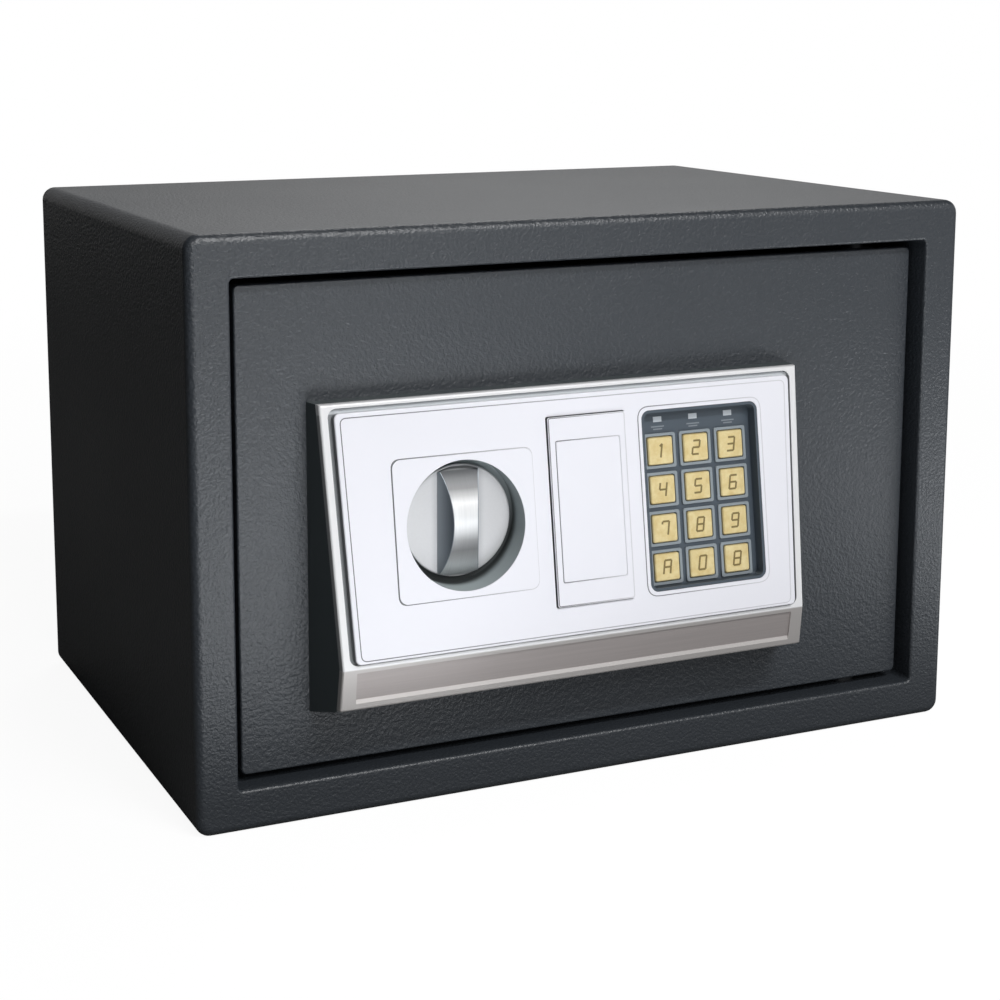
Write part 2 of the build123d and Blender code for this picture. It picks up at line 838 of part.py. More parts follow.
def panel_points(front, side):
    """Side outline of the wedge with its face moved in by front and its ends by side."""
    break_y = panel_top_y - panel_face_length * tilt_sin
    break_z = panel_top_z - panel_face_length * tilt_cos
    foot = (break_y + panel_bevel_return, break_z - panel_bevel_height)
    rise = foot[0] - door_front_y
    top = shifted((door_front_y, panel_top_z), (-1, 0), side)
    face = shifted((panel_top_y, panel_top_z), (-tilt_sin, -tilt_cos), front)
    bevel = shifted((break_y, break_z), (panel_bevel_return, -panel_bevel_height), front)
    under = shifted(foot, (-rise, -panel_under_slope), side)
    back = ((door_front_y, 0), (0, 1))
    return [meet(back, top), meet(top, face), meet(face, bevel), meet(bevel, under), meet(under, back)]


def panel_prism(front, side):
    """The wedge with its faces moved in, its sides drafted towards the front."""
    outline = make_face(Polyline(*[(0, y, z) for y, z in panel_points(front, side)], close=True))
    wedge = extrude(outline, amount=panel_half_width, both=True, dir=(1, 0, 0))
    reach = cabinet_depth / 4
    half = panel_half_width - side
    narrow = half - reach * draft_rate
    plan = make_face(Polyline(
        (-half, door_front_y), (half, door_front_y),
        (narrow, door_front_y - reach), (-narrow, door_front_y - reach), close=True,
    ))
    sides = extrude(plan, amount=cabinet_height)
    return Pos(panel_offset_x, 0, 0) * (wedge & sides)


def face_half_width(v):
    """Half width of the wedge's face at v down it."""
    return panel_half_width - draft_rate * (panel_top_rise + v * tilt_sin)


def face_trapezoid(side_inset, v0, v1, h0, h1, corner_r):
    """A slab that follows the drafted sides of the face, with rounded corners."""
    top, bottom = face_half_width(v0) - side_inset, face_half_width(v1) - side_inset
    outline = make_face(Polyline(
        (-top, -v0), (top, -v0), (bottom, -v1), (-bottom, -v1), close=True
    ))
    outline = fillet(outline.vertices(), corner_r)
    return extrude(panel_plane * Pos(0, 0, h0) * outline, amount=h1 - h0)


fascia_side = rim_width + groove_width
fascia_top_v = rim_top_width + groove_width
fascia_bottom_v = panel_face_length - rim_bottom_width


def bevel_cut():
    """The shallow inset along the bevel."""
    points = panel_points(0, 0)
    (y0, z0), (y1, z1) = points[2], points[3]
    length = math.hypot(y1 - y0, z1 - z0)
    down = ((y1 - y0) / length, (z1 - z0) / length)
    out = (down[1], -down[0])
    start, stop = bevel_inset_top, length - bevel_inset_bottom
    depth = bevel_inset_depth
    slope = stop - bevel_inset_slope
    profile = ((start, -depth), (slope, -depth), (stop, 0), (stop, depth), (start, depth))
    corners = []
    for along, lift in profile:
        place = (y0 + down[0] * along + out[0] * lift, z0 + down[1] * along + out[1] * lift)
        corners.append((0, *place))
    outline = make_face(Polyline(*corners, close=True))
    half = face_half_width(panel_face_length) - bevel_inset_side
    return Pos(panel_offset_x, 0, 0) * extrude(outline, amount=half, both=True, dir=(1, 0, 0))


def make_panel_bezel():
    """The silver front: a rim round the face and the bevel below it."""
    bezel = panel_prism(0, 0)
    front_edges = bezel.edges().filter_by(lambda edge: edge.center().Y < panel_top_y + 0.5)
    bezel = fillet(front_edges, bezel_edge_r)
    bezel -= panel_prism(bezel_thickness, -2 * base_wall)
    bezel -= face_trapezoid(
        rim_width, rim_top_width, fascia_bottom_v, -2 * bezel_thickness, 2 * bezel_thickness,
        rim_corner_r,
    )
    return bezel - bevel_cut()


def keypad_pocket(margin, h0, h1):
    """A slab as large as the keypad tray and a margin round it."""
    width, height = keypad_width + 2 * margin, keypad_height + 2 * margin
    return panel_slab(keypad_u, keypad_v, width, height, h0, h1, keypad_corner_r + margin)


def make_panel_base():
    """The dark shell between the bezel and the door, with its screw bosses."""
    base = panel_prism(bezel_thickness, 0) - panel_prism(bezel_thickness + base_wall, base_wall)
    for x, z in panel_screw_places():
        boss = rod_y(x, z, panel_top_y - panel_face_length, door_front_y, panel_boss_r)
        base += boss & panel_prism(bezel_thickness + base_wall / 2, base_wall / 2)
        base -= rod_y(x, z, door_front_y - panel_screw_bite, door_front_y, panel_screw_r)
    ahead = door_front_y - cabinet_depth / 4
    base -= rod_y(knob_x, knob_z, ahead, door_front_y, well_r + well_wall + seat_gap)
    base -= rod_y(lock_x, lock_z, ahead, door_front_y, barrel_flange_r + seat_gap)
    return base - keypad_pocket(seat_gap, board_under_h, fascia_rise)


def make_panel_fascia():
    """The raised white plate with pockets for the knob plate, lock cover and keypad."""
    fascia = face_trapezoid(
        fascia_side, fascia_top_v, fascia_bottom_v - fascia_bottom_gap,
        -groove_depth - groove_depth / 2, fascia_rise, fascia_corner_r,
    )
    upper = fascia.edges().filter_by(
        lambda edge: panel_plane.to_local_coords(edge.center()).Z > fascia_rise - 0.1
    )
    fascia = fillet(upper, fascia_edge_r)
    fascia += face_trapezoid(
        rim_width + seat_gap, rim_top_width + seat_gap, fascia_bottom_v - seat_gap,
        -bezel_thickness, -groove_depth, rim_corner_r - seat_gap,
    )
    plate_h = fascia_rise + knob_plate_rise - knob_plate_thickness
    gap = 2 * seat_gap
    fascia -= panel_slab(
        knob_u, knob_v, knob_plate_width + gap, knob_plate_height + gap, plate_h,
        2 * fascia_rise, knob_plate_corner_r,
    )
    fascia -= panel_slab(
        cover_u, cover_v, cover_width + 2 * cover_gap, cover_height + 2 * cover_gap,
        fascia_rise + cover_rise - cover_thickness, 2 * fascia_rise, cover_corner_r,
    )
    for v in (cover_v - cover_peg_spacing / 2, cover_v + cover_peg_spacing / 2):
        peg_place = panel_plane * Pos(cover_u, -v, 0)
        fascia -= peg_place * Cylinder(cover_peg_r + seat_gap, 4 * bezel_thickness)
    ahead = door_front_y - cabinet_depth / 4
    fascia -= rod_y(knob_x, knob_z, ahead, door_front_y, well_r + well_wall + seat_gap)
    fascia -= rod_y(lock_x, lock_z, ahead, door_front_y, barrel_flange_r + seat_gap)
    return fascia - keypad_pocket(seat_gap, -2 * bezel_thickness, 2 * fascia_rise)


def make_key_cover():
    """The pull-off cover over the override lock, with a fine outline and two pegs."""
    top_h = fascia_rise + cover_rise
    under_h = top_h - cover_thickness
    cover = panel_slab(cover_u, cover_v, cover_width, cover_height, under_h, top_h, cover_corner_r)
    outer = panel_slab(
        cover_u, cover_v, cover_line_width, cover_line_height, top_h - cover_line_depth, 2 * top_h,
        cover_corner_r,
    )
    inner = panel_slab(
        cover_u, cover_v, cover_line_width - 2 * cover_line, cover_line_height - 2 * cover_line,
        top_h - cover_line_depth, 2 * top_h, cover_corner_r,
    )
    cover -= outer - inner
    for v in (cover_v - cover_peg_spacing / 2, cover_v + cover_peg_spacing / 2):
        peg = Cylinder(cover_peg_r, cover_peg_length)
        cover += panel_plane * Pos(cover_u, -v, under_h - cover_peg_length / 2) * peg
    return cover


# ---------------------------------------------------------------- override lock


def make_override_barrel():
    """The key lock's body, flanged against the front of the leaf."""
    barrel = rod_y(lock_x, lock_z, barrel_front_y, barrel_back_y, barrel_r)
    barrel += rod_y(lock_x, lock_z, door_front_y - barrel_flange, door_front_y, barrel_flange_r)
    return barrel - rod_y(lock_x, lock_z, barrel_front_y, barrel_back_y, plug_r + running_gap)


def make_override_nut():
    """The hexagon nut that clamps the barrel to the leaf."""
    hexagon = RegularPolygon(barrel_nut_r, 6)
    place = Plane(origin=(lock_x, door_back_y, lock_z), x_dir=(1, 0, 0), z_dir=(0, 1, 0))
    nut = extrude(place * hexagon, amount=barrel_nut)
    return nut - rod_y(lock_x, lock_z, door_back_y, door_back_y + barrel_nut, barrel_r)


def make_override_plug():
    """The turning plug with its keyway."""
    plug = rod_y(lock_x, lock_z, barrel_front_y, plug_back_y, plug_r)
    half_w, half_h = keyway_width / 2, keyway_height / 2
    return plug - block(
        lock_x - half_w, lock_x + half_w, barrel_front_y, barrel_front_y + keyway_depth,
        lock_z - half_h, lock_z + half_h,
    )


def make_override_cam():
    """The eccentric on the plug that lifts the latch."""
    x, z = lock_x - eccentric_side, lock_z - eccentric_drop
    return rod_y(x, z, plug_back_y, plug_back_y + eccentric_thickness, eccentric_r)


# ---------------------------------------------------------------- solenoid latch


def make_solenoid_plunger():
    """The latch pin, resting just above the carriage."""
    return rod_z(plunger_x, plunger_y, plunger_bottom, plunger_bottom + plunger_top, plunger_r)


def make_plunger_lifter():
    """The plate on the pin that the eccentric raises."""
    left = plunger_x - plunger_r - lifter_overhang
    lifter = block(
        left, lock_x + lifter_overhang, plug_back_y, plunger_y + plunger_r + lifter_overhang / 2,
        lifter_z, lifter_top,
    )
    return lifter - rod_z(plunger_x, plunger_y, lifter_z, lifter_top, plunger_r)


def coil_spring(radius, wire, z0, z1, turns):
    """A spring along Z, centred on the origin, between two heights."""
    path = Helix(pitch=(z1 - z0 - 2 * wire) / turns, height=z1 - z0 - 2 * wire, radius=radius)
    profile = Plane(origin=path @ 0, z_dir=path % 0) * Circle(wire)
    return Pos(0, 0, z0 + wire) * sweep(profile, path=path)


def make_plunger_spring():
    """The return spring between the solenoid and the lifter."""
    spring = coil_spring(
        plunger_r + spring_gap + spring_wire_r, spring_wire_r,
        lifter_top + seat_gap / 2, solenoid_z - seat_gap / 2, spring_turns,
    )
    return Pos(plunger_x, plunger_y, 0) * spring


def make_solenoid_frame():
    """The bracket round the coil, on two spacers welded to the leaf."""
    half = coil_r + coil_clearance
    frame = block(
        plunger_x - half, plunger_x + half, plunger_y - half - solenoid_plate, plunger_y + half,
        solenoid_z, solenoid_top + solenoid_plate,
    )
    frame -= block(
        plunger_x - half, plunger_x + half, plunger_y - half, plunger_y + half,
        solenoid_z + solenoid_plate, solenoid_top,
    )
    frame -= rod_z(plunger_x, plunger_y, solenoid_z, solenoid_z + solenoid_plate, plunger_r + coil_clearance)
    for z in (solenoid_z + solenoid_foot, solenoid_top - solenoid_foot):
        frame += rod_y(plunger_x, z, door_back_y, plunger_y - half - solenoid_plate, solenoid_foot_r)
    return frame


def make_solenoid_coil():
    """The wound bobbin, bored for the pin."""
    z0, z1 = solenoid_z + solenoid_plate, solenoid_top
    coil = rod_z(plunger_x, plunger_y, z0, z1, coil_r)
    waist = rod_z(plunger_x, plunger_y, z0 + bobbin_flange, z1 - bobbin_flange, coil_r)
    waist -= rod_z(plunger_x, plunger_y, z0, z1, coil_r - bobbin_flange / 2)
    return coil - waist - rod_z(plunger_x, plunger_y, z0, z1, plunger_r + coil_clearance)


# ---------------------------------------------------------------- keypad


def key_places():
    """Each key's name with its place across and down the face."""
    return [
        (name, key_column_u[i % 3], key_row_v[i // 3]) for i, name in enumerate(key_names)
    ]


def make_keypad_tray():
    """The dark tray with a window for each key and each lamp."""
    tray = keypad_pocket(0, tray_under_h, fascia_rise - seat_gap)
    tray -= keypad_pocket(-tray_wall, tray_floor_h, 2 * fascia_rise)
    for _, u, v in key_places():
        width, height = key_width + 2 * key_window_gap, key_height + 2 * key_window_gap
        tray -= panel_slab(u, v, width, height, tray_under_h, tray_floor_h, key_corner_r)
    for u in key_column_u:
        tray -= panel_slab(u, lens_v, lens_width, lens_height, tray_under_h, tray_floor_h, 0)
    return tray


def make_key_frames():
    """The raised square surround of each key."""
    rings = []
    for _, u, v in key_places():
        h0, h1 = tray_floor_h, tray_floor_h + frame_rise
        inner_w, inner_h = frame_width - 2 * frame_line_u, frame_height - 2 * frame_line_v
        ring = panel_slab(u, v, frame_width, frame_height, h0, h1, key_corner_r)
        rings.append(ring - panel_slab(u, v, inner_w, inner_h, h0, h1, key_corner_r))
    return group(rings)


def make_key(u, v):
    """A crowned key cap with the flange that keeps it in the tray."""
    top_h = tray_floor_h + frame_rise + key_proud
    cap = panel_slab(u, v, key_width, key_height, key_flange_h, top_h, key_corner_r)
    crown = cap.edges().filter_by(
        lambda edge: panel_plane.to_local_coords(edge.center()).Z > top_h - 0.01
    )
    cap = chamfer(crown, key_crown)
    return cap + panel_slab(
        u, v, key_width + 2 * key_flange, key_height + 2 * key_flange,
        key_flange_h - key_flange_thickness, key_flange_h, key_corner_r,
    )


def make_key_mat():
    """The rubber mat with a dome under each key."""
    width = 2 * key_pitch_u + frame_width
    height = 3 * key_pitch_v + frame_height
    mid_v = (key_row_v[0] + key_row_v[-1]) / 2
    mat = panel_slab(key_column_u[1], mid_v, width, height, board_top_h, mat_top_h, 1)
    for _, u, v in key_places():
        dome = Cone(dome_r, dome_r * 0.75, dome_height)
        mat += panel_plane * Pos(u, -v, mat_top_h + dome_height / 2) * dome
    return mat


def make_circuit_board():
    """The board behind the keypad."""
    width, height = keypad_width - 2 * board_margin, keypad_height - 2 * board_margin
    return panel_slab(keypad_u, keypad_v, width, height, board_under_h, board_top_h, 1)


def make_board_parts():
    """Controller, buzzer and connector on the back of the board."""
    low = keypad_v + keypad_height / 4
    top = board_under_h
    chip = panel_slab(keypad_u, keypad_v, chip_side, chip_side, top - chip_thickness, top, 0)
    plug_u = keypad_u + plug_offset_u
    plug = panel_slab(plug_u, low, wire_plug_width, wire_plug_height, top - wire_plug_depth, top, 0)
    buzzer_place = panel_plane * Pos(keypad_u + buzzer_offset_u, -low, top - buzzer_depth / 2)
    return group([chip, plug, buzzer_place * Cylinder(buzzer_r, buzzer_depth)])


def make_indicator_lenses():
    """The three lamp windows above the keys."""
    h1 = tray_floor_h + seat_gap
    return group([
        panel_slab(u, lens_v, lens_width, lens_height, h1 - lens_thickness, h1, 0)
        for u in key_column_u
    ])


# ---------------------------------------------------------------- batteries


def make_battery_tray():
    """The holder that hangs in the lock case by its lip."""
    x0, x1 = tray_x - holder_half_x, tray_x + holder_half_x
    z0, z1 = tray_z - holder_half_z, tray_z + holder_half_z
    lip, end_y = holder_lip, case_back_y + holder_lip_thickness
    tray = block(x0, x1, holder_floor_y, end_y, z0, z1)
    tray += block(x0 - lip, x1 + lip, case_back_y, end_y, z0 - lip, z1 + lip)
    wall = holder_wall
    tray -= block(x0 + wall, x1 - wall, holder_floor_y + wall, end_y, z0 + wall, z1 - wall)
    rebate = wall - holder_ledge
    return tray - block(x0 + rebate, x1 - rebate, lid_y - face_gap / 2, end_y, z0 + rebate, z1 - rebate)


def cell_xs():
    """Where each cell's axis lies across the holder."""
    return [tray_x + (i - (cell_count - 1) / 2) * cell_pitch for i in range(cell_count)]


def make_battery_cells():
    """Round cells standing side by side, turned end for end in turn."""
    cells = []
    z0, z1 = tray_z - cell_length / 2, tray_z + cell_length / 2
    for i, x in enumerate(cell_xs()):
        cell = rod_z(x, cell_y, z0, z1, cell_r)
        cell = fillet(cell.edges().filter_by(GeomType.CIRCLE), cell_nub / 2)
        nub = (z1, z1 + cell_nub) if i % 2 else (z0 - cell_nub, z0)
        cells.append(cell + rod_z(x, cell_y, *nub, cell_nub_r))
    return group(cells)


def make_battery_contacts():
    """A plate at each end of each cell, with a spring at the flat end."""
    contacts = []
    z0 = tray_z - holder_half_z + holder_wall
    z1 = tray_z + holder_half_z - holder_wall
    for i, x in enumerate(cell_xs()):
        half = cell_r - holder_wall
        ends = []
        for low in (z0, z1 - contact_thickness):
            ends.append(block(x - half, x + half, cell_y - half, cell_y + half, low, low + contact_thickness))
        flat_z = (z0 + contact_thickness, tray_z - cell_length / 2)
        if i % 2 == 0:
            flat_z = (tray_z + cell_length / 2, z1 - contact_thickness)
        spring = coil_spring(cell_nub_r, contact_wire_r, *flat_z, contact_turns)
        contacts += [*ends, Pos(x, cell_y, 0) * spring]
    return group(contacts)


def make_battery_cover():
    """The lid of the battery holder, with a finger scoop."""
    half_x = holder_half_x - holder_wall + holder_ledge - battery_cover_gap
    half_z = holder_half_z - holder_wall + holder_ledge - battery_cover_gap
    end_y = lid_y + battery_cover_thickness
    lid = block(tray_x - half_x, tray_x + half_x, lid_y, end_y, tray_z - half_z, tray_z + half_z)
    scoop_z = tray_z + holder_half_z / 2
    scoop_y = end_y + battery_cover_grip_r - battery_cover_thickness / 2
    return lid - rod_x(
        scoop_y, scoop_z, tray_x - 2 * battery_cover_grip_r, tray_x + 2 * battery_cover_grip_r,
        battery_cover_grip_r,
    )


def make_reset_switch():
    """The switch body behind the lock case's reset hole."""
    x = case_right - reset_inset_x
    half = reset_body / 2
    body = block(
        x - half, x + half, case_inner_y - reset_body_depth, case_inner_y,
        reset_z - half, reset_z + half,
    )
    room = reset_stem + reset_travel + face_gap
    return body - rod_y(x, reset_z, case_inner_y - room, case_inner_y, reset_r + reset_gap)


def make_reset_button():
    """The button for setting a new code."""
    x = case_right - reset_inset_x
    button = rod_y(x, reset_z, case_inner_y - reset_stem, case_back_y + reset_proud, reset_r)
    return chamfer(button.edges().group_by(Axis.Y)[-1], reset_r / 6)


parts = {
    "body_wrap": make_body_wrap(),
    "back_panel": make_back_panel(),
    "front_frame": make_front_frame(),
    "floor_mat": make_floor_mat(),
    "hinge_brackets": make_hinge_brackets(),
    "hinge_pins": make_hinge_pins(),
    "hinge_washer": make_hinge_washer(),
    "door_plate": make_door_plate(),
    "hinge_knuckles": make_hinge_knuckles(),
    "lock_case": make_lock_case(),
    "case_posts": make_case_posts(),
    "case_screws": make_case_screws(),
    "panel_screws": make_panel_screws(),
    "bolt_bushes": make_bolt_bushes(),
    "bolt_carriage": make_bolt_carriage(),
    "locking_bolts": make_locking_bolts(),
    "guide_pins": make_guide_pins(),
    "spindle_bush": make_spindle_bush(),
    "spindle": make_spindle(),
    "spindle_clip": make_spindle_clip(),
    "knob_cam": make_knob_cam(),
    "knob": make_knob(),
    "knob_well": make_knob_well(),
    "panel_base": make_panel_base(),
    "panel_bezel": make_panel_bezel(),
    "panel_fascia": make_panel_fascia(),
    "key_cover": make_key_cover(),
    "override_barrel": make_override_barrel(),
    "override_nut": make_override_nut(),
    "override_plug": make_override_plug(),
    "override_cam": make_override_cam(),
    "solenoid_plunger": make_solenoid_plunger(),
    "plunger_lifter": make_plunger_lifter(),
    "plunger_spring": make_plunger_spring(),
    "solenoid_frame": make_solenoid_frame(),
    "solenoid_coil": make_solenoid_coil(),
    "keypad_tray": make_keypad_tray(),
    "key_frames": make_key_frames(),
    "key_mat": make_key_mat(),
    "circuit_board": make_circuit_board(),
    "board_parts": make_board_parts(),
    "indicator_lenses": make_indicator_lenses(),
    "battery_tray": make_battery_tray(),
    "battery_cells": make_battery_cells(),
    "battery_contacts": make_battery_contacts(),
    "battery_cover": make_battery_cover(),
    "reset_switch": make_reset_switch(),
    "reset_button": make_reset_button(),
}
for key_name, key_u, key_v in key_places():
    parts[f"key_{key_name}"] = make_key(key_u, key_v)

os.makedirs("parts", exist_ok=True)
for node, shape in parts.items():
    export_step(shape, f"parts/{node}.step")
print(len(parts), "nodes")
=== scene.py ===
import math
import bpy
from mathutils import Matrix, Vector


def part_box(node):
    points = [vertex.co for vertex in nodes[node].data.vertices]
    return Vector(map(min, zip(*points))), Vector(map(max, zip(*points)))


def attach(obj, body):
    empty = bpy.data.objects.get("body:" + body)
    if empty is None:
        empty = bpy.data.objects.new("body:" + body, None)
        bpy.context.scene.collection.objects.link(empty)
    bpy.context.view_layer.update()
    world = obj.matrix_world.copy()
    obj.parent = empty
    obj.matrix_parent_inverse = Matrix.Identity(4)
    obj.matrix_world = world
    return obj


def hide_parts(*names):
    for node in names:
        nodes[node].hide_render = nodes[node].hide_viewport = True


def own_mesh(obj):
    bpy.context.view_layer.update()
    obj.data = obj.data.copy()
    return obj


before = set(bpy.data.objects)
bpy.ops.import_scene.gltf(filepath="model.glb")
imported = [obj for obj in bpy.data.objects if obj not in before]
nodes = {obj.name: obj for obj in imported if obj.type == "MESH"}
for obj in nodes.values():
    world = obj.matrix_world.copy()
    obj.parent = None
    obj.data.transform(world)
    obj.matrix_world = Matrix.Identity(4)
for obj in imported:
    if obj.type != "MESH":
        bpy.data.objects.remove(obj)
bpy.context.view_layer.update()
print("frame loaded:", len(nodes), "nodes")


# the sloping face of the control panel, as a place to draw on
panel = {"origin": (-0.0146, -0.102, 0.1428), "tilt": 8.64}
panelPlace = (
    Matrix.Translation(panel["origin"])
    @ Matrix.Rotation(math.radians(90.0 - panel["tilt"]), 4, "X")
)


def shade(colour, amount):
    return tuple(min(1.0, part * amount) for part in colour)


# wraps a socket, so that maths on it reads as an expression
class Wire:
    def __init__(self, graph, socket):
        self.graph, self.socket = graph, socket

    def maths(self, operation, first, second):
        kind = "ShaderNodeMath"
        return self.graph.node(kind, {"operation": operation}, {0: first, 1: second})

    def __add__(self, other):
        return self.maths("ADD", self, other)

    def __radd__(self, other):
        return self.maths("ADD", other, self)

    def __sub__(self, other):
        return self.maths("SUBTRACT", self, other)

    def __rsub__(self, other):
        return self.maths("SUBTRACT", other, self)

    def __mul__(self, other):
        return self.maths("MULTIPLY", self, other)

    def __rmul__(self, other):
        return self.maths("MULTIPLY", other, self)

    def __truediv__(self, other):
        return self.maths("DIVIDE", self, other)

    def __abs__(self):
        return self.maths("ABSOLUTE", self, 0.0)

    # 1 below edge, 0 above it, with a soft step
    def below(self, edge, soft):
        kind = "ShaderNodeMapRange"
        sockets = {"Value": self, 1: edge - soft, 2: edge + soft, 3: 1.0, 4: 0.0}  # from, then to
        return self.graph.node(kind, {"interpolation_type": "SMOOTHSTEP"}, sockets)


# a node tree that takes a node's type, its settings and its sockets in one call
class Graph:
    def __init__(self, tree):
        self.tree = tree
        self.tree.nodes.clear()

    def node(self, kind, settings=None, sockets=None, out=0):
        made = self.tree.nodes.new(kind)
        for key, value in (settings or {}).items():
            if key == "stops":
                self.setStops(made.color_ramp, value)
            else:
                setattr(made, key, value)
        for key, value in (sockets or {}).items():
            self.plug(made.inputs[key], value)
        return Wire(self, made.outputs[out]) if len(made.outputs) else None

    def setStops(self, ramp, stops):
        while len(ramp.elements) < len(stops):
            ramp.elements.new(0.5)
        for element, (place, colour) in zip(ramp.elements, stops):
            element.position = place
            element.color = (*colour, 1.0)

    def plug(self, socket, value):
        if isinstance(value, Wire):
            self.tree.links.new(value.socket, socket)
        elif socket.type == "RGBA":
            socket.default_value = (*value, 1.0)
        else:
            socket.default_value = value

    def mix(self, factor, first, second):
        sockets = {0: factor, 6: first, 7: second}  # its factor and the two colours
        return self.node("ShaderNodeMix", {"data_type": "RGBA"}, sockets, out=2)


class Finish(Graph):
    def __init__(self, name):
        self.material = bpy.data.materials.new(name)
        self.material.use_nodes = True
        super().__init__(self.material.node_tree)
        self.place = self.node("ShaderNodeTexCoord", out=3)

    # the three coordinates of the place being shaded
    def axes(self):
        parts = self.node("ShaderNodeSeparateXYZ", None, {0: self.place}).socket.node.outputs
        return [Wire(self, part) for part in parts]

    # how far a point lies down the panel's sloping face, and how far out from it
    def panelAxes(self):
        _, y, z = self.axes()
        tilt = math.radians(panel["tilt"])
        ahead, up = y - panel["origin"][1], z - panel["origin"][2]
        fall = ahead * -math.sin(tilt) - up * math.cos(tilt)
        return fall, up * math.sin(tilt) - ahead * math.cos(tilt)

    # cloudy noise, stretched into brush marks where stretch is given
    def noise(self, scale, detail=3.0, roughness=0.6, distortion=0.0, stretch=None):
        place = self.place
        if stretch:
            place = self.node("ShaderNodeMapping", None, {"Vector": place, "Scale": stretch})
        sockets = {
            "Vector": place, "Scale": scale, "Detail": detail, "Roughness": roughness,
            "Distortion": distortion,
        }
        return self.node("ShaderNodeTexNoise", None, sockets)

    # a softer noise, for what changes slowly
    def drift(self, scale):
        return self.noise(scale, detail=2.0, roughness=0.5)

    # one colour, from a darker to a lighter shade of it
    def tones(self, factor, colour, darkest, lightest):
        return self.mix(factor, shade(colour, darkest), shade(colour, lightest))

    def bump(self, height, distance):
        return self.node("ShaderNodeBump", None, {"Height": height, "Distance": distance})

    def surface(self, sockets):
        shader = self.node("ShaderNodeBsdfPrincipled", None, sockets)
        self.node("ShaderNodeOutputMaterial", None, {"Surface": shader})
        return self.material


coat = {
    "colour": (0.038, 0.044, 0.052),
    # painted shade: the colour in the wrinkles' creases
    "deep": (0.025, 0.030, 0.037),
    "grain": 900.0,  # wrinkles a metre
    "distort": 0.35,
    "warp": 0.5,  # scale of the slower waves, against the grain's
    "wrinkleRise": 0.8, "warpRise": 0.35,
    "patch": 9.0,  # slow changes of tone a metre
    "wrinkleTone": 0.7, "patchTone": 0.3,
    "distance": 0.00034,
    "roughness": 0.41, "patchRough": 0.10,
    "specular": 0.76,
}


# textured powder coat: fine wrinkles, with painted shade in their creases and slightly lighter crests,
# and tone that differs at random in patches
def makeCoat(name, s):
    f = Finish(name)
    warp = f.drift(s["grain"] * s["warp"])
    wrinkle = f.noise(s["grain"], roughness=0.5, distortion=s["distort"])
    patch = f.drift(s["patch"])
    # painted shade and light: the wrinkles' creases darker, their crests lighter, mixed with random
    # patches
    tone = wrinkle * s["wrinkleTone"] + patch * s["patchTone"]
    height = wrinkle * s["wrinkleRise"] + warp * s["warpRise"]
    return f.surface({
        "Base Color": f.mix(tone, s["deep"], s["colour"]),
        "Roughness": s["roughness"] + (patch - 0.5) * s["patchRough"],
        "Specular IOR Level": s["specular"],
        "Normal": f.bump(height, s["distance"]),
    })


# what a moulded finish has where its own entry says nothing else
mouldedUsual = {
    "drift": 25.0, "darkest": 0.93, "lightest": 1.04,
    "spread": 0.08, "specular": 0.5, "coat": 0.0, "coatRoughness": 0.1,
}


# moulded plastic: fine spark grain and a slow drift in tone
def makeMoulded(name, s):
    f = Finish(name)
    s = {**mouldedUsual, **s}
    grain = f.noise(s["grain"])
    drift = f.drift(s["drift"])
    return f.surface({
        "Base Color": f.tones(drift, s["colour"], s["darkest"], s["lightest"]),
        "Roughness": s["roughness"] + (grain - 0.5) * s["spread"],
        "Specular IOR Level": s["specular"],
        "Coat Weight": s["coat"],
        "Coat Roughness": s["coatRoughness"],
        "Normal": f.bump(grain, s["distance"]),
    })


# what every metal has
metalUsual = {
    "drift": 60.0, "brushTone": 0.6, "driftTone": 0.4, "darkest": 0.86, "lightest": 1.06,
    "spread": 0.22, "distance": 0.00002,
}


# plated or plain metal with brush marks along one direction
def makeMetal(name, s):
    f = Finish(name)
    s = {**metalUsual, **s}
    brush = f.noise(1.0, stretch=s["lay"])
    drift = f.drift(s["drift"])
    tone = brush * s["brushTone"] + drift * s["driftTone"]
    return f.surface({
        "Base Color": f.tones(tone, s["colour"], s["darkest"], s["lightest"]),
        "Metallic": 1.0,
        "Roughness": s["roughness"] + (brush - 0.5) * s["spread"],
        "Normal": f.bump(brush, s["distance"]),
    })


felt = {
    "colour": (0.035, 0.036, 0.040), "darkest": 0.5, "lightest": 2.0,
    "fibre": 900.0, "fibreTone": 0.7,
    "tangle": 0.45, "tangleTone": 0.6,  # the loops' scale, against the fibres'
    "roughness": 0.95, "fuzz": 0.35, "fuzzRoughness": 0.6, "distance": 0.0006,
}


# needled felt: loose loops of fibre, with a fuzz over them
def makeFelt(name, s):
    f = Finish(name)
    fibre = f.noise(s["fibre"], detail=5.0, roughness=0.75)
    sockets = {"Vector": f.place, "Scale": s["fibre"] * s["tangle"]}
    tangle = f.node("ShaderNodeTexVoronoi", {"feature": "DISTANCE_TO_EDGE"}, sockets)
    tone = fibre * s["fibreTone"] + tangle * s["tangleTone"]
    return f.surface({
        "Base Color": f.tones(tone, s["colour"], s["darkest"], s["lightest"]),
        "Roughness": s["roughness"],
        "Sheen Weight": s["fuzz"],
        "Sheen Roughness": s["fuzzRoughness"],
        "Normal": f.bump(tone, s["distance"]),
    })


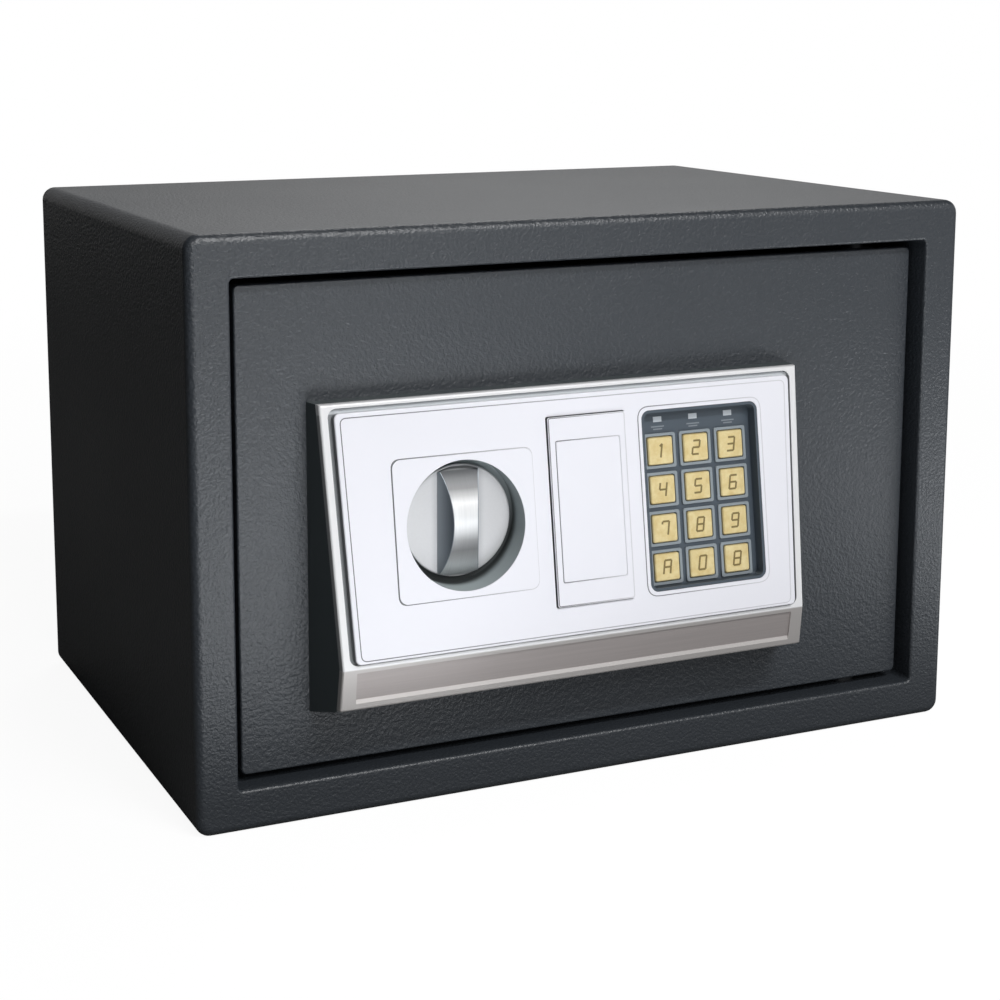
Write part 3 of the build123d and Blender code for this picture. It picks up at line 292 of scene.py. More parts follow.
bezel = {
    "rim": (0.78, 0.78, 0.79),
    # painted reflection: the bevel is painted darker and warmer than the rim, where it faces down
    "bevel": (0.56, 0.535, 0.52),
    "inset": (0.46, 0.42, 0.41), "insetDark": 0.9, "insetLight": 1.1,
    # painted shade: the groove's colour, darker than the rim
    "grooveShade": (0.36, 0.365, 0.37),
    "foldZ": 0.0561, "foldSoft": 0.0003,  # the bevel starts below here
    "centreX": panel["origin"][0], "insetHalf": 0.0844, "insetSoft": 0.0002,
    "insetLow": 0.0452, "insetHigh": 0.0548, "lowSoft": 0.0001,
    "grooveRise": -0.0004, "grooveSoft": 0.0001,
    "litFall": 0.0033, "litSoft": 0.0003, "litShare": 0.8,  # painted light: the groove's painted shade is lifted above here
    "fleck": 2600.0, "lay": (25.0, 1500.0, 1500.0),
    "metallic": 0.15, "bevelMetallic": 0.35,
    "roughness": 0.36, "spread": 0.12, "distance": 0.000012,
}


# silver paint: a white rim, a warm bevel with a darker strip let into it, the bevel painted darker as
# painted reflection where it faces down, and painted shade in the groove
def makeBezel(name, s):
    f = Finish(name)
    x, _, z = f.axes()
    fleck = f.noise(s["fleck"], detail=2.0)
    under = z.below(s["foldZ"], s["foldSoft"])
    strip = abs(x - s["centreX"]).below(s["insetHalf"], s["insetSoft"])
    strip = strip * z.below(s["insetHigh"], s["insetSoft"])
    strip = strip * (1.0 - z.below(s["insetLow"], s["lowSoft"]))
    brush = f.noise(1.0, stretch=s["lay"])
    inset = f.tones(brush, s["inset"], s["insetDark"], s["insetLight"])
    fall, rise = f.panelAxes()
    # painted shade in the groove, lifted towards painted light near the face's top
    pale = fall.below(s["litFall"], s["litSoft"]) * s["litShare"]
    grooveShade = rise.below(s["grooveRise"], s["grooveSoft"]) * (1.0 - under) * (1.0 - pale)
    face = f.mix(grooveShade, s["rim"], s["grooveShade"])
    return f.surface({
        # the bevel's painted reflection colour below the fold
        "Base Color": f.mix(under, face, f.mix(strip, s["bevel"], inset)),
        "Metallic": s["metallic"] + under * s["bevelMetallic"],
        "Roughness": s["roughness"] + (fleck - 0.5) * s["spread"],
        "Normal": f.bump(fleck, s["distance"]),
    })


knobLook = {
    "disc": (0.525, 0.525, 0.535), "discDark": 0.96, "discLight": 1.03,
    "grip": (0.91, 0.92, 0.93), "gripDark": 0.84, "gripLight": 1.1,
    # painted shade: the arch's colour where its painted reflection is dark
    "archShade": (0.02, 0.022, 0.025),
    # painted shade: the flanks, darker towards their top
    "flank": (0.46, 0.50, 0.54), "flankTopShade": (0.15, 0.17, 0.20),
    "flankHalf": 0.00022, "flankSoft": 0.00008, "edgeSoft": 0.0001,
    "edge": (0.06, 0.07, 0.08), "edgeY": -0.0005,  # the disc's side in painted shade, from this far behind its face
    "centreX": -0.0575,
    "flatY": -0.1031,
    "flatHalf": 0.00765, "height": 0.007, "lean": 24.0,  # half the grip's foot, and its flanks' lean
    "start": 0.00012, "startSoft": 0.00006,  # the grip starts this far above the disc
    "shadow": 0.0012, "shadowSoft": 0.0016, "shadowShare": 0.3,  # the disc is darker beside the grip
    "brush": (3200.0, 60.0, 60.0), "fine": 1500.0,
    "metallic": 0.25, "gripMetallic": 0.7,
    "roughness": 0.34, "spread": 0.2, "gripRough": 0.08, "flankRough": 0.15, "distance": 0.00001,
    "foot": 0.0801, "length": 0.0388,
    # painted reflection: how bright the brushed arch is, from its lower end to its upper one
    "arch": [(0.0, 1.0), (0.15, 0.72), (0.27, 0.34), (0.36, 0.40), (0.46, 0.66), (0.53, 0.95),
             (0.60, 1.0), (0.69, 0.98), (0.75, 0.50), (0.81, 0.18), (0.87, 0.105), (0.94, 0.055),
             (0.956, 0.055), (0.966, 0.20)],
}


# satin disc, a grip brushed along its arch with painted reflection, and flanks painted darker as
# painted shade
def makeKnob(name, s):
    f = Finish(name)
    x, y, z = f.axes()
    ahead = s["flatY"] - y
    across = abs(x - s["centreX"])
    footHalf = s["flatHalf"] - ahead * math.tan(math.radians(s["lean"]))
    raised = 1.0 - ahead.below(s["start"], s["startSoft"])
    flank = abs(across - footHalf).below(s["flankHalf"], s["flankSoft"]) * raised
    grip = across.below(s["flatHalf"], s["edgeSoft"]) * raised
    rim = ahead.below(s["edgeY"], s["edgeSoft"])
    brush = f.noise(1.0, roughness=0.65, stretch=s["brush"])
    fine = f.drift(s["fine"])
    disc = f.tones(fine, s["disc"], s["discDark"], s["discLight"])
    shadow = across.below(s["flatHalf"] + s["shadow"], s["shadowSoft"]) * s["shadowShare"]
    disc = f.mix(shadow, disc, s["edge"])
    # painted reflection: bright and dark bands along the arch
    stops = [(place, (tone, tone, tone)) for place, tone in s["arch"]]
    arch = f.node("ShaderNodeValToRGB", {"stops": stops}, {0: (z - s["foot"]) / s["length"]})
    bar = f.tones(brush, s["grip"], s["gripDark"], s["gripLight"])
    bar = f.mix(arch, s["archShade"], bar)
    # painted shade: the flanks darken towards their top
    side = f.mix(ahead / s["height"], s["flank"], s["flankTopShade"])
    # painted shade on the disc's side
    metal = f.mix(grip, f.mix(rim, disc, s["edge"]), bar)
    rough = ((brush - 0.5) * s["spread"] + s["gripRough"]) * grip + flank * s["flankRough"]
    return f.surface({
        "Base Color": f.mix(flank, metal, side),
        "Metallic": s["metallic"] + grip * s["gripMetallic"],
        "Roughness": s["roughness"] + rough,
        "Normal": f.bump(fine + brush * grip, s["distance"]),
    })


keyLook = {
    "colour": (0.70, 0.53, 0.22), "pale": (0.88, 0.755, 0.43),
    "mottle": 330.0, "contrast": 1.6, "level": 0.35, "mottleRise": 3.0,
    "fleck": 4000.0, "fleckTone": 0.3,
    "metallic": 0.3, "roughness": 0.36, "spread": 0.15, "distance": 0.00002,
}


# satin gold paint with faint mottling
def makeKey(name, s):
    f = Finish(name)
    mottle = f.noise(s["mottle"])
    fleck = f.noise(s["fleck"], detail=2.0)
    tone = (mottle - 0.5) * s["contrast"] + s["level"] + fleck * s["fleckTone"]
    return f.surface({
        "Base Color": f.mix(tone, s["colour"], s["pale"]),
        "Metallic": s["metallic"],
        "Roughness": s["roughness"] + (fleck - 0.5) * s["spread"],
        "Normal": f.bump(mottle * s["mottleRise"] + fleck, s["distance"]),
    })


board = {
    "mask": (0.015, 0.10, 0.045), "track": (0.035, 0.19, 0.08), "pitch": 900.0, "line": 0.06,
    "roughness": 0.3, "gapRough": 0.1, "distance": 0.00003,
}


# green solder mask, lighter over small pads, with fine gaps between them
def makeBoard(name, s):
    f = Finish(name)
    sockets = {"Vector": f.place, "Scale": s["pitch"], "Mortar Size": s["line"]}
    gap = f.node("ShaderNodeTexBrick", None, sockets, out=1)
    return f.surface({
        "Base Color": f.mix(gap, s["track"], s["mask"]),
        "Roughness": s["roughness"] + gap * s["gapRough"],
        "Normal": f.bump(gap, s["distance"]),
    })


sleeve = {
    "body": (0.045, 0.048, 0.052), "end": (0.42, 0.33, 0.16), "endMetallic": 0.6,
    "middle": 0.10, "band": 0.0165, "bandSoft": 0.0002,
    "scuff": 500.0, "roughness": 0.25, "scuffRough": 0.12, "distance": 0.00001,
}


# plain cell sleeves with a contrasting band at one end
def makeSleeve(name, s):
    f = Finish(name)
    _, _, z = f.axes()
    scuff = f.noise(s["scuff"])
    band = (z - s["middle"]).below(-s["band"], s["bandSoft"])
    return f.surface({
        "Base Color": f.mix(band, s["body"], s["end"]),
        "Metallic": band * s["endMetallic"],
        "Roughness": s["roughness"] + scuff * s["scuffRough"],
        "Normal": f.bump(scuff, s["distance"]),
    })


coil = {
    "colour": (0.50, 0.20, 0.08), "dark": 0.45, "turns": 1216.0,  # turns a metre
    "metallic": 0.8, "roughness": 0.3, "windRough": 0.1, "distance": 0.0001,
}


# enamelled wire, wound close
def makeCoil(name, s):
    f = Finish(name)
    bands = {"wave_type": "BANDS", "bands_direction": "Z"}
    sockets = {"Vector": f.place, "Scale": s["turns"] * math.pi / 10}  # a band is pi/10 at scale 1
    wind = f.node("ShaderNodeTexWave", bands, sockets, out=1)
    return f.surface({
        "Base Color": f.mix(wind, shade(s["colour"], s["dark"]), s["colour"]),
        "Metallic": s["metallic"],
        "Roughness": s["roughness"] + wind * s["windRough"],
        "Normal": f.bump(wind, s["distance"]),
    })


pearl = {
    "colour": (0.80, 0.80, 0.85), "darkest": 0.95, "lightest": 1.03, "drift": 14.0,
    "grain": 3000.0, "metallic": 0.05, "roughness": 0.34, "spread": 0.08, "bareRough": 0.2,
    "distance": 0.000008,
    "edgeSoft": 0.00006,
    "deepRise": -0.0065, "deepSoft": 0.0025, "deepDark": 0.12,  # painted shade: a wall darkens from here down
    "litFall": 0.0033, "litSoft": 0.0003, "litBright": 2.6,  # painted light: and is lighter near the face's top
    # node, its top above the panel's face, how deep its pearl paint goes, and the painted shade colour
    # below
    "pieces": [
        ("panel_fascia", 0.0016, 0.00045, (0.22, 0.23, 0.24)),
        ("key_cover", 0.0026, 0.00036, (0.05, 0.052, 0.055)),
        ("knob_well", 0.0020, 0.00030, (0.36, 0.41, 0.42)),
    ],
}


# pearl paint on a face, and painted shade on its walls, darker as they go down
def makePearl(name, s, top, depth, wallShade):
    f = Finish(name)
    grain = f.noise(s["grain"])
    drift = f.drift(s["drift"])
    fall, rise = f.panelAxes()
    face = f.tones(drift, s["colour"], s["darkest"], s["lightest"])
    # painted shade on the walls below the painted face, lifted to painted light near the face's top
    paintedShade = rise.below(top - depth, s["edgeSoft"])
    side = f.mix(rise.below(s["deepRise"], s["deepSoft"]), wallShade, shade(wallShade, s["deepDark"]))
    side = f.mix(fall.below(s["litFall"], s["litSoft"]), side, shade(wallShade, s["litBright"]))
    return f.surface({
        "Base Color": f.mix(paintedShade, face, side),
        "Metallic": s["metallic"],
        "Roughness": s["roughness"] + (grain - 0.5) * s["spread"] + paintedShade * s["bareRough"],
        "Normal": f.bump(grain, s["distance"]),
    })


# the moulded and the metal slots, with the nodes that each one dresses
moulded = {
    "black_plastic": {
        "colour": (0.062, 0.076, 0.080), "roughness": 0.36, "grain": 1800.0, "distance": 0.00002,
        "nodes": ["panel_base", "bolt_bushes", "battery_tray", "battery_cover", "reset_switch"],
    },
    "red_plastic": {
        "colour": (0.50, 0.025, 0.02), "roughness": 0.3, "grain": 2000.0, "distance": 0.00001,
        "nodes": ["reset_button"],
    },
    "slate_plastic": {
        "colour": (0.070, 0.088, 0.108), "roughness": 0.3, "grain": 2400.0, "distance": 0.00001,
        "nodes": ["keypad_tray"],
    },
    "frame_blue": {
        "colour": (0.25, 0.285, 0.31), "roughness": 0.35, "grain": 2600.0, "distance": 0.00001,
        "nodes": ["key_frames"],
    },
    "mat_rubber": {
        "colour": (0.10, 0.10, 0.11), "roughness": 0.75, "grain": 1500.0, "distance": 0.00003,
        "specular": 0.3, "nodes": ["key_mat"],
    },
    "board_black": {
        "colour": (0.025, 0.025, 0.026), "roughness": 0.5, "grain": 2500.0, "distance": 0.00002,
        "nodes": ["board_parts"],
    },
    "lens_plastic": {
        "colour": (0.52, 0.56, 0.60), "roughness": 0.15, "grain": 900.0, "distance": 0.00001,
        "spread": 0.03, "coat": 0.6, "nodes": ["indicator_lenses"],
    },
}
metals = {
    "bright_steel": {
        "colour": (0.62, 0.62, 0.60), "roughness": 0.26, "lay": (90.0, 2500.0, 900.0),
        "nodes": ["locking_bolts", "spindle", "spindle_clip", "guide_pins", "case_screws",
                  "panel_screws", "solenoid_plunger", "battery_contacts", "plunger_spring"],
    },
    "zinc_steel": {
        "colour": (0.52, 0.53, 0.54), "roughness": 0.42, "lay": (700.0, 700.0, 700.0),
        "nodes": ["bolt_carriage", "knob_cam", "case_posts", "solenoid_frame", "plunger_lifter"],
    },
    "black_oxide": {
        "colour": (0.045, 0.047, 0.05), "roughness": 0.5, "lay": (700.0, 700.0, 700.0),
        "nodes": ["hinge_pins", "hinge_washer"],
    },
    "brass_parts": {
        "colour": (0.66, 0.50, 0.24), "roughness": 0.3, "lay": (2200.0, 90.0, 2200.0),
        "nodes": ["override_barrel", "override_nut", "override_plug", "override_cam", "spindle_bush"],
    },
}


# gives each node its one material
def dress(names, material):
    for each in names:
        mesh = nodes[each].data
        mesh.materials.clear()
        mesh.materials.append(material)


keyNames = [*"123456789a0b"]  # row by row
coatMaterial = makeCoat("powderCoat", coat)
dress(["body_wrap", "back_panel", "front_frame", "door_plate", "lock_case"], coatMaterial)
dress(["hinge_brackets", "hinge_knuckles"], coatMaterial)
for slotName, s in moulded.items():
    dress(s["nodes"], makeMoulded(slotName, s))
for slotName, s in metals.items():
    dress(s["nodes"], makeMetal(slotName, s))
dress(["floor_mat"], makeFelt("needledFelt", felt))
dress(["panel_bezel"], makeBezel("silverPaint", bezel))
dress(["knob"], makeKnob("knobSatinPaintedLight", knobLook))
for name, top, depth, wallShade in pearl["pieces"]:
    dress([name], makePearl(name + "Paint", pearl, top, depth, wallShade))
dress([f"key_{each}" for each in keyNames], makeKey("keyGold", keyLook))
dress(["circuit_board"], makeBoard("solderResist", board))
dress(["battery_cells"], makeSleeve("cellSleeve", sleeve))
dress(["solenoid_coil"], makeCoil("woundWire", coil))
print("finishes on every node")


# a new geometry tree: gives the tree, its graph and one wire for each input
def newTree(name, inputs):
    tree = bpy.data.node_groups.new(name, "GeometryNodeTree")
    tree.interface.new_socket("Geometry", in_out="OUTPUT", socket_type="NodeSocketGeometry")
    inputs = [("Geometry", "Geometry"), *inputs, ("Finish", "Material")]
    for label, kind in inputs:
        tree.interface.new_socket(label, in_out="INPUT", socket_type="NodeSocket" + kind)
    g = Graph(tree)
    given = g.node("NodeGroupInput").socket.node.outputs
    return tree, g, [Wire(g, given[i]) for i in range(len(inputs))]


# the end of every tree: real geometry in its own finish
def endTree(g, geometry, finish):
    real = g.node("GeometryNodeRealizeInstances", None, {0: geometry})
    done = g.node("GeometryNodeSetMaterial", None, {0: real, "Material": finish})
    g.node("NodeGroupOutput", None, {0: done})


# where the first point of the given geometry lies
def firstPoint(g, geometry):
    sockets = {0: geometry, "Value": g.node("GeometryNodeInputPosition"), "Index": 0}
    return g.node("GeometryNodeSampleIndex", {"data_type": "FLOAT_VECTOR"}, sockets)


def sweep(g, curve, profile):
    sockets = {"Curve": curve, "Profile Curve": profile, "Fill Caps": True}
    return g.node("GeometryNodeCurveToMesh", None, sockets)


# sweeps a flat bar along every line of the mesh that it is put on
def strokeTree():
    inputs = [("Stroke width", "Float"), ("Stroke depth", "Float")]
    tree, g, (line, width, depth, finish) = newTree("strokeAlongLine", inputs)
    curve = g.node("GeometryNodeMeshToCurve", None, {0: line})
    curve = g.node("GeometryNodeSetCurveNormal", {"mode": "Z_UP"}, {0: curve})
    bar = g.node("GeometryNodeCurvePrimitiveQuadrilateral", None, {"Width": width, "Height": depth})
    flat = g.node("GeometryNodeSetShadeSmooth", None, {0: sweep(g, curve, bar), "Shade Smooth": False})
    endTree(g, flat, finish)
    return tree


# repeats a small bar in an even row
def rowTree():
    inputs = [("Count", "Int"), ("Pitch", "Vector"), ("Bar size", "Vector")]
    tree, g, (start, count, pitch, size, finish) = newTree("barsInRow", inputs)
    points = g.node("GeometryNodeMeshLine", {"mode": "OFFSET"}, {"Count": count, "Offset": pitch})
    points = g.node("GeometryNodeSetPosition", None, {0: points, "Offset": firstPoint(g, start)})
    bar = g.node("GeometryNodeMeshCube", None, {"Size": size})
    row = g.node("GeometryNodeInstanceOnPoints", None, {"Points": points, "Instance": bar})
    endTree(g, row, finish)
    return tree


# winds a wire up from its first point
def coilTree():
    inputs = [("Turns", "Float"), ("Coil radius", "Float"), ("Coil height", "Float"),
              ("Wire radius", "Float"), ("Steps a turn", "Int"), ("Wire sides", "Int")]
    tree, g, wires = newTree("wireInCoil", inputs)
    start, turns, radius, height, wire, steps, sides, finish = wires
    path = g.node("GeometryNodeCurveSpiral", None, {
        "Resolution": steps, "Rotations": turns, "Start Radius": radius, "End Radius": radius,
        "Height": height,
    })
    path = g.node("GeometryNodeSetPosition", None, {0: path, "Offset": firstPoint(g, start)})
    section = g.node("GeometryNodeCurvePrimitiveCircle", None, {"Resolution": sides, "Radius": wire})
    endTree(g, sweep(g, path, section), finish)
    return tree


# runs a tree on points and lines, and leaves a plain mesh at its place
def grow(name, points, lines, tree, inputs, place):
    seed = bpy.data.meshes.new(name + "Seed")
    seed.from_pydata(points, lines, [])
    source = bpy.data.objects.new(name + "Source", seed)
    modifier = source.modifiers.new("grow", "NODES")
    modifier.node_group = tree
    for item in tree.interface.items_tree:
        if item.in_out == "INPUT" and item.name in inputs:
            modifier[item.identifier] = inputs[item.name]
    bpy.context.scene.collection.objects.link(source)
    bpy.context.view_layer.update()
    grown = source.evaluated_get(bpy.context.evaluated_depsgraph_get())
    mesh = bpy.data.meshes.new_from_object(grown)
    mesh.name = name
    mesh.transform(place)
    bpy.data.objects.remove(source)
    piece = bpy.data.objects.new(name, mesh)
    bpy.context.scene.collection.objects.link(piece)
    return piece


# the keypad's grid, across and down the panel's face
keypad = {
    "columns": 3, "firstColumn": 0.0350, "columnPitch": 0.0144,
    "firstRow": 0.0261, "rowPitch": 0.0137,
}
strokes = strokeTree()

# numerals on the keys, drawn with bars as on a display
numeral = {
    "width": 0.0027, "height": 0.0048, "stroke": 0.00068, "depth": 0.00006,
    "gap": 0.00002, "slant": 0.16, "top": -0.0015, "colour": (0.22, 0.16, 0.055),
}
# where each bar ends, on a grid one wide and two high
bars = {
    "top": ((0, 2), (1, 2)), "middle": ((0, 1), (1, 1)), "bottom": ((0, 0), (1, 0)),
    "upperLeft": ((0, 1), (0, 2)), "upperRight": ((1, 1), (1, 2)),
    "lowerLeft": ((0, 0), (0, 1)), "lowerRight": ((1, 0), (1, 1)),
    "stem": ((0.6, 0), (0.6, 2)), "flag": ((0.6, 2), (0.3, 1.65)), "tick": ((0, 1.6), (0, 2)),
}
numeralBars = {
    "1": ["stem", "flag"],
    "2": ["top", "upperRight", "middle", "lowerLeft", "bottom"],
    "3": ["top", "upperRight", "middle", "lowerRight", "bottom"],
    "4": ["upperLeft", "upperRight", "middle", "lowerRight"],
    "5": ["top", "upperLeft", "middle", "lowerRight", "bottom"],
    "6": ["top", "upperLeft", "middle", "lowerLeft", "lowerRight", "bottom"],
    "7": ["tick", "top", "upperRight", "lowerRight"],
    "8": ["top", "upperLeft", "upperRight", "middle", "lowerLeft", "lowerRight", "bottom"],
    "9": ["top", "upperLeft", "upperRight", "middle", "lowerRight", "bottom"],
    "0": ["top", "upperLeft", "upperRight", "lowerLeft", "lowerRight", "bottom"],
    "a": ["top", "upperLeft", "upperRight", "middle", "lowerLeft", "lowerRight"],
}
numeralBars["b"] = numeralBars["8"]
ink = {"roughness": 0.5, "grain": 3000.0, "distance": 0.000004}
numeralInk = makeMoulded("numeralInk", {**ink, "colour": numeral["colour"]})


# a numeral's points and lines about a place on the panel's face
def numeralLines(name, u, v, s):
    points, lines = [], []
    for bar in numeralBars[name]:
        ends = []
        for column, row in bars[bar]:
            x, y = (column - 0.5) * s["width"], (row - 1) * s["height"] / 2
            ends.append(Vector((x, y, 0)))
        step = (ends[1] - ends[0]).normalized() * s["gap"]
        for end in (ends[0] + step, ends[1] - step):
            points.append((u + end.x + end.y * s["slant"], -v + end.y, s["top"] + s["depth"] / 2))
        lines.append((len(points) - 2, len(points) - 1))
    return points, lines


for index, name in enumerate(keyNames):
    row, column = divmod(index, keypad["columns"])
    u = keypad["firstColumn"] + keypad["columnPitch"] * column
    v = keypad["firstRow"] + keypad["rowPitch"] * row
    points, lines = numeralLines(name, u, v, numeral)
    inputs = {"Stroke width": numeral["stroke"], "Stroke depth": numeral["depth"], "Finish": numeralInk}
    piece = grow(f"numeral_{name}", points, lines, strokes, inputs, panelPlace)
    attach(piece, f"key_{name}")
print("numerals on", len(keyNames), "keys")


# painted shade: fine lines drawn round the fascia, the knob plate, the cover and the keypad, where
# their edges and grooves fall in shade
fineLines = {
    "dark": (0.17, 0.17, 0.18), "pale": (0.62, 0.62, 0.65),  # painted shade at a loop's left side, painted light at its right side
    "width": 0.00034, "depth": 0.00008, "steps": 6,  # steps in each corner
    "grain": 3000.0, "roughness": 0.4, "spread": 0.08, "distance": 0.000004,
    # name, body, rise, corner radius, and four corners across and down the face
    "loops": [
        ("fascia_line", "door", 0.0016, 0.0022,
         [(-0.0857, 0.0048), (0.0857, 0.0048), (0.0833, 0.08496), (-0.0833, 0.08496)]),
        ("keypad_line", "door", 0.0016, 0.0045,
         [(0.0248, 0.0099), (0.0750, 0.0099), (0.0750, 0.0764), (0.0248, 0.0764)]),
        ("plate_line", "door", 0.0016, 0.0032,
         [(-0.0688, 0.0199), (-0.0170, 0.0199), (-0.0170, 0.0683), (-0.0688, 0.0683)]),
        ("cover_line", "key_cover", 0.0023, 0.0008,
         [(-0.0082, 0.0189), (0.0166, 0.0189), (0.0166, 0.0675), (-0.0082, 0.0675)]),
        ("cover_edge", "key_cover", 0.0026, 0.0008,
         [(-0.01050, 0.01095), (0.01890, 0.01095), (0.01890, 0.07545), (-0.01050, 0.07545)]),
    ],
}


# a closed loop with its four corners rounded
def roundedLoop(corners, radius, rise, s):
    corners = [Vector((u, -v, rise + s["depth"] / 4)) for u, v in corners]
    points = []
    for i, here in enumerate(corners):
        toLast = (corners[i - 1] - here).normalized() * radius
        toNext = (corners[(i + 1) % 4] - here).normalized() * radius
        for step in range(s["steps"] + 1):
            t = step / s["steps"]
            points.append(tuple(here + toLast * (1 - t) ** 2 + toNext * t ** 2))
    lines = [(i, (i + 1) % len(points)) for i in range(len(points))]
    return points, lines


# a line's painted shade, dark at the loop's left side and pale at its right, as the light falls
def makeLineShade(name, s, left, right):
    f = Finish(name)
    x, _, _ = f.axes()
    grain = f.noise(s["grain"])
    return f.surface({
        # painted shade and painted light across the line
        "Base Color": f.mix((x - left) / (right - left), s["dark"], s["pale"]),
        "Roughness": s["roughness"] + (grain - 0.5) * s["spread"],
        "Normal": f.bump(grain, s["distance"]),
    })


for name, body, rise, radius, corners in fineLines["loops"]:
    points, lines = roundedLoop(corners, radius, rise, fineLines)
    sides = [panel["origin"][0] + corner[0] for corner in corners]
    lineShade = makeLineShade(name + "Ink", fineLines, min(sides), max(sides))
    inputs = {"Stroke width": fineLines["width"], "Stroke depth": fineLines["depth"], "Finish": lineShade}
    piece = grow(name, points, lines, strokes, inputs, panelPlace)
    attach(piece, body)

# plain marks under the three lamps
marks = {
    "colour": (0.20, 0.225, 0.25), "v": 0.0176, "top": -0.0028,
    "size": (0.0052, 0.00045, 0.00006), "pitch": (keypad["columnPitch"], 0.0, 0.0),
    "lines": (1.0, 0.7), "spacing": 0.0009,  # how long each line is, and their distance
}
markInk = makeMoulded("lampMark", {**ink, "colour": marks["colour"]})
rows = rowTree()
for index, scale in enumerate(marks["lines"]):
    size = (marks["size"][0] * scale, *marks["size"][1:])
    start = (keypad["firstColumn"], -marks["v"] - index * marks["spacing"], marks["top"])
    inputs = {
        "Count": keypad["columns"], "Pitch": marks["pitch"], "Bar size": size, "Finish": markInk,
    }
    piece = grow(f"lamp_marks_{index + 1}", [start], [], rows, inputs, panelPlace)
    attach(piece, "door")
print("panel details done")


# the latch's return spring, built at its rest length
spring = {
    "turns": 4.0, "wire": 0.00035, "fixedEnd": 0.11285, "lift": 0.002121,
    "steps": 32, "sides": 14,
}
low, high = (Vector(corner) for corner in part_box("plunger_spring"))
middle = (low + high) / 2
inputs = {
    "Turns": spring["turns"], "Steps a turn": spring["steps"],
    "Wire radius": spring["wire"], "Wire sides": spring["sides"],
    "Coil radius": (high.x - low.x) / 2 - spring["wire"],
    "Coil height": high.z - low.z - 2 * spring["wire"],
    "Finish": nodes["plunger_spring"].data.materials[0],
}
foot = (middle.x, middle.y, low.z + spring["wire"])
piece = grow("latch_spring", [foot], [], coilTree(), inputs, Matrix.Identity(4))
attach(piece, "door")
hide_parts("plunger_spring")
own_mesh(piece)
print("spring done")


white = (1, 1, 1)

# floor, backdrop and room
studio = {
    "floorSize": 6.0, "floorGlow": 0.93, "floorMatt": (0.12, 0.12, 0.12),
    "floorGrain": 140.0, "floorRise": 0.00005,
    "fadeMiddle": 0.775, "fadeSoft": 0.425,  # the floor turns into plain backdrop here
    "bounce": (0.16, 0.16, 0.16),  # the floor, as the object sees it
    "ambient": 0.12,  # what the room gives to dull surfaces
    "shine": 0.60,  # what it shows in glossy ones
    "darkSide": -0.25, "darkSoft": 0.45,  # the room is dark to the left of here
    "ceiling": 0.35, "ceilingSoft": 0.15,  # and its shine ends at this height
}


def makeFloor(s):
    mesh = bpy.data.meshes.new("floor")
    half = s["floorSize"] / 2
    corners = [(-half, -half, 0), (half, -half, 0), (half, half, 0), (-half, half, 0)]
    mesh.from_pydata(corners, [], [(0, 1, 2, 3)])
    floor = bpy.data.objects.new("floor", mesh)
    bpy.context.scene.collection.objects.link(floor)
    f = Finish("floorPaper")
    reach = f.node("ShaderNodeVectorMath", {"operation": "LENGTH"}, {0: f.place}, out=1)
    far = 1.0 - reach.below(s["fadeMiddle"], s["fadeSoft"])
    grain = f.bump(f.drift(s["floorGrain"]), s["floorRise"])
    matt = f.node("ShaderNodeBsdfDiffuse", None, {"Color": s["floorMatt"], "Normal": grain})
    nearGlow = f.node("ShaderNodeEmission", None, {"Color": white, "Strength": s["floorGlow"]})
    near = f.node("ShaderNodeAddShader", None, {0: matt, 1: nearGlow})
    farGlow = f.node("ShaderNodeEmission", None, {"Color": white, "Strength": 1.0})
    seen = f.node("ShaderNodeMixShader", None, {0: far, 1: near, 2: farGlow})
    bounce = f.node("ShaderNodeBsdfDiffuse", None, {"Color": s["bounce"]})
    path = f.node("ShaderNodeLightPath").socket.node.outputs
    direct = Wire(f, path["Is Camera Ray"])
    shown = f.node("ShaderNodeMixShader", None, {0: direct, 1: bounce, 2: seen})
    f.node("ShaderNodeOutputMaterial", None, {"Surface": shown})
    mesh.materials.append(f.material)


def makeWorld(s):
    world = bpy.data.worlds.new("studio")
    world.use_nodes = True
    bpy.context.scene.world = world
    g = Graph(world.node_tree)
    path = g.node("ShaderNodeLightPath").socket.node.outputs
    kinds = ("Camera", "Glossy", "Transmission")
    direct, glossy, through = (Wire(g, path[f"Is {kind} Ray"]) for kind in kinds)
    side = g.node("ShaderNodeSeparateXYZ", None, {0: g.node("ShaderNodeTexCoord", out=3)})
    up = Wire(g, side.socket.node.outputs["Z"])
    bright = 1.0 - side.below(s["darkSide"], s["darkSoft"])
    shine = up.below(s["ceiling"], s["ceilingSoft"]) * s["shine"]
    level = (s["ambient"] + (glossy + through) * (shine - s["ambient"])) * bright
    room = g.node("ShaderNodeBackground", None, {"Color": white, "Strength": level})
    backdrop = g.node("ShaderNodeBackground", None, {"Color": white, "Strength": 1.0})
    both = g.node("ShaderNodeMixShader", None, {0: direct, 1: room, 2: backdrop})
    g.node("ShaderNodeOutputWorld", None, {"Surface": both})


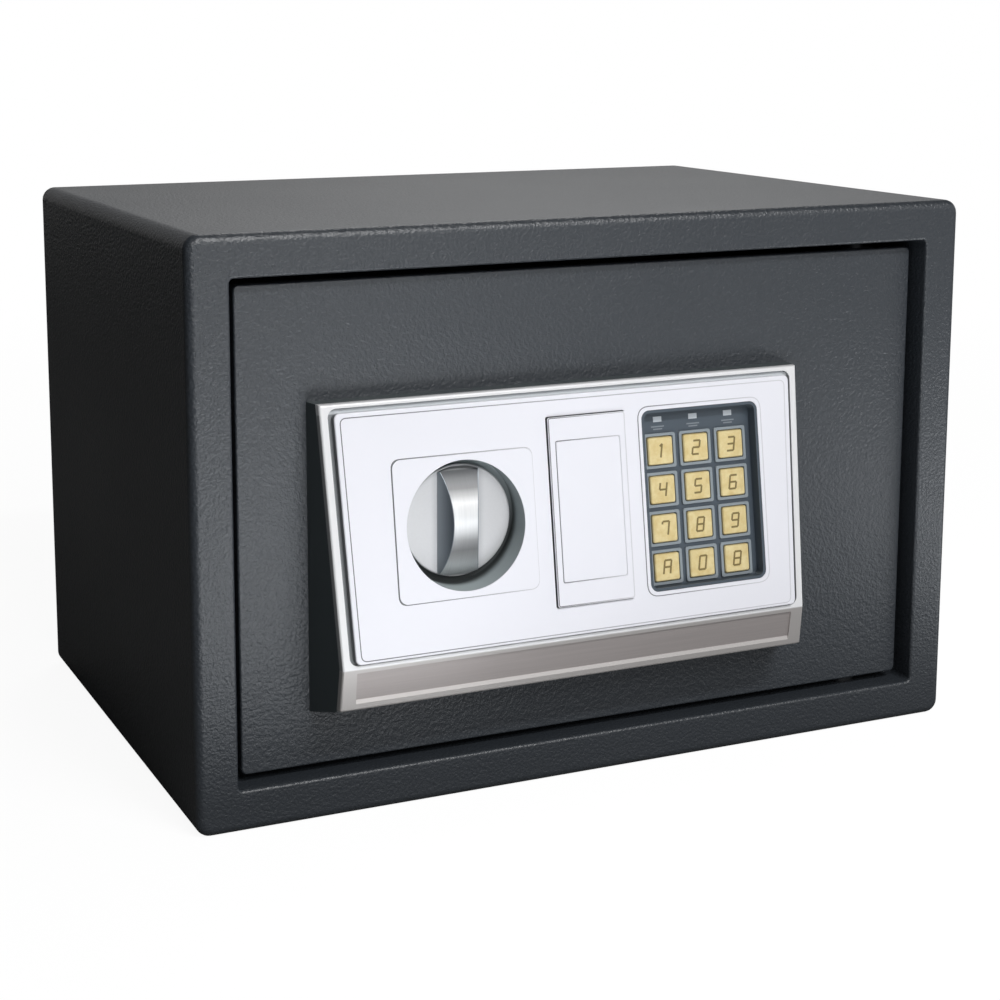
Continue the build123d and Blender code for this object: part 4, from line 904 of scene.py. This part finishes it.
# area lamps; the low ones stand in for the light that the white floor throws up
cool = (0.94, 0.97, 1.0)
lamps = {
    "keyLamp": {"place": (0.0, -1.5, 1.3), "aim": (0.0, -0.1, 0.1), "size": 0.9, "watts": 10.8},
    "frontLamp": {"place": (0.0, -1.7, 0.8), "aim": (0.0, -0.1, 0.1), "size": 0.8, "watts": 5.3},
    "edgeLamp": {
        "place": (0.25, -0.95, 1.00), "aim": (0.22, -0.1, 0.15), "size": 0.55, "depth": 0.06,
        "watts": 5.8,
    },
    "backLamp": {"place": (0.65, 1.2, 1.45), "aim": (0.0, 0.0, 0.1), "size": 0.8, "watts": 6.2},
    "lowLampLeft": {
        "place": (0.0, -0.38, 0.012), "aim": (0.0, -0.37, 1.0), "size": 0.18, "watts": 0.45,
        "colour": cool,
    },
    "lowLampNear": {
        "place": (-0.08, -0.25, 0.012), "aim": (-0.08, -0.24, 1.0), "size": 0.12, "watts": 0.16,
        "colour": cool,
    },
    "lowLampRight": {
        "place": (0.31, -0.23, 0.012), "aim": (0.25, -0.20, 1.0), "size": 0.14, "watts": 0.32,
        "colour": cool,
    },
}


def makeLamp(name, s):
    data = bpy.data.lights.new(name, "AREA")
    data.shape = "RECTANGLE"
    data.size = s["size"]
    data.size_y = s.get("depth", s["size"])
    data.energy = s["watts"]
    data.color = s.get("colour", white)
    lamp = bpy.data.objects.new(name, data)
    lamp.location = s["place"]
    lamp.visible_camera = False
    ahead = Vector(s["aim"]) - Vector(s["place"])
    lamp.rotation_euler = ahead.to_track_quat("-Z", "Y").to_euler()
    bpy.context.scene.collection.objects.link(lamp)


makeFloor(studio)
makeWorld(studio)
for name, s in lamps.items():
    makeLamp(name, s)

# the camera
view = {
    "place": (-0.323406, -0.688208, 0.265357), "turn": (80.65485, 0.09326, -23.80998),
    "lens": 70.365, "sensor": 36.0, "shift": (0.064, -0.155),
}
cameraData = bpy.data.cameras.new("camera")
cameraData.lens = view["lens"]
cameraData.sensor_width = view["sensor"]
cameraData.shift_x, cameraData.shift_y = view["shift"]
camera = bpy.data.objects.new("camera", cameraData)
camera.location = view["place"]
camera.rotation_euler = [math.radians(each) for each in view["turn"]]
bpy.context.scene.collection.objects.link(camera)
bpy.context.scene.camera = camera
bpy.context.scene.view_settings.view_transform = "Standard"
print("studio and camera set")
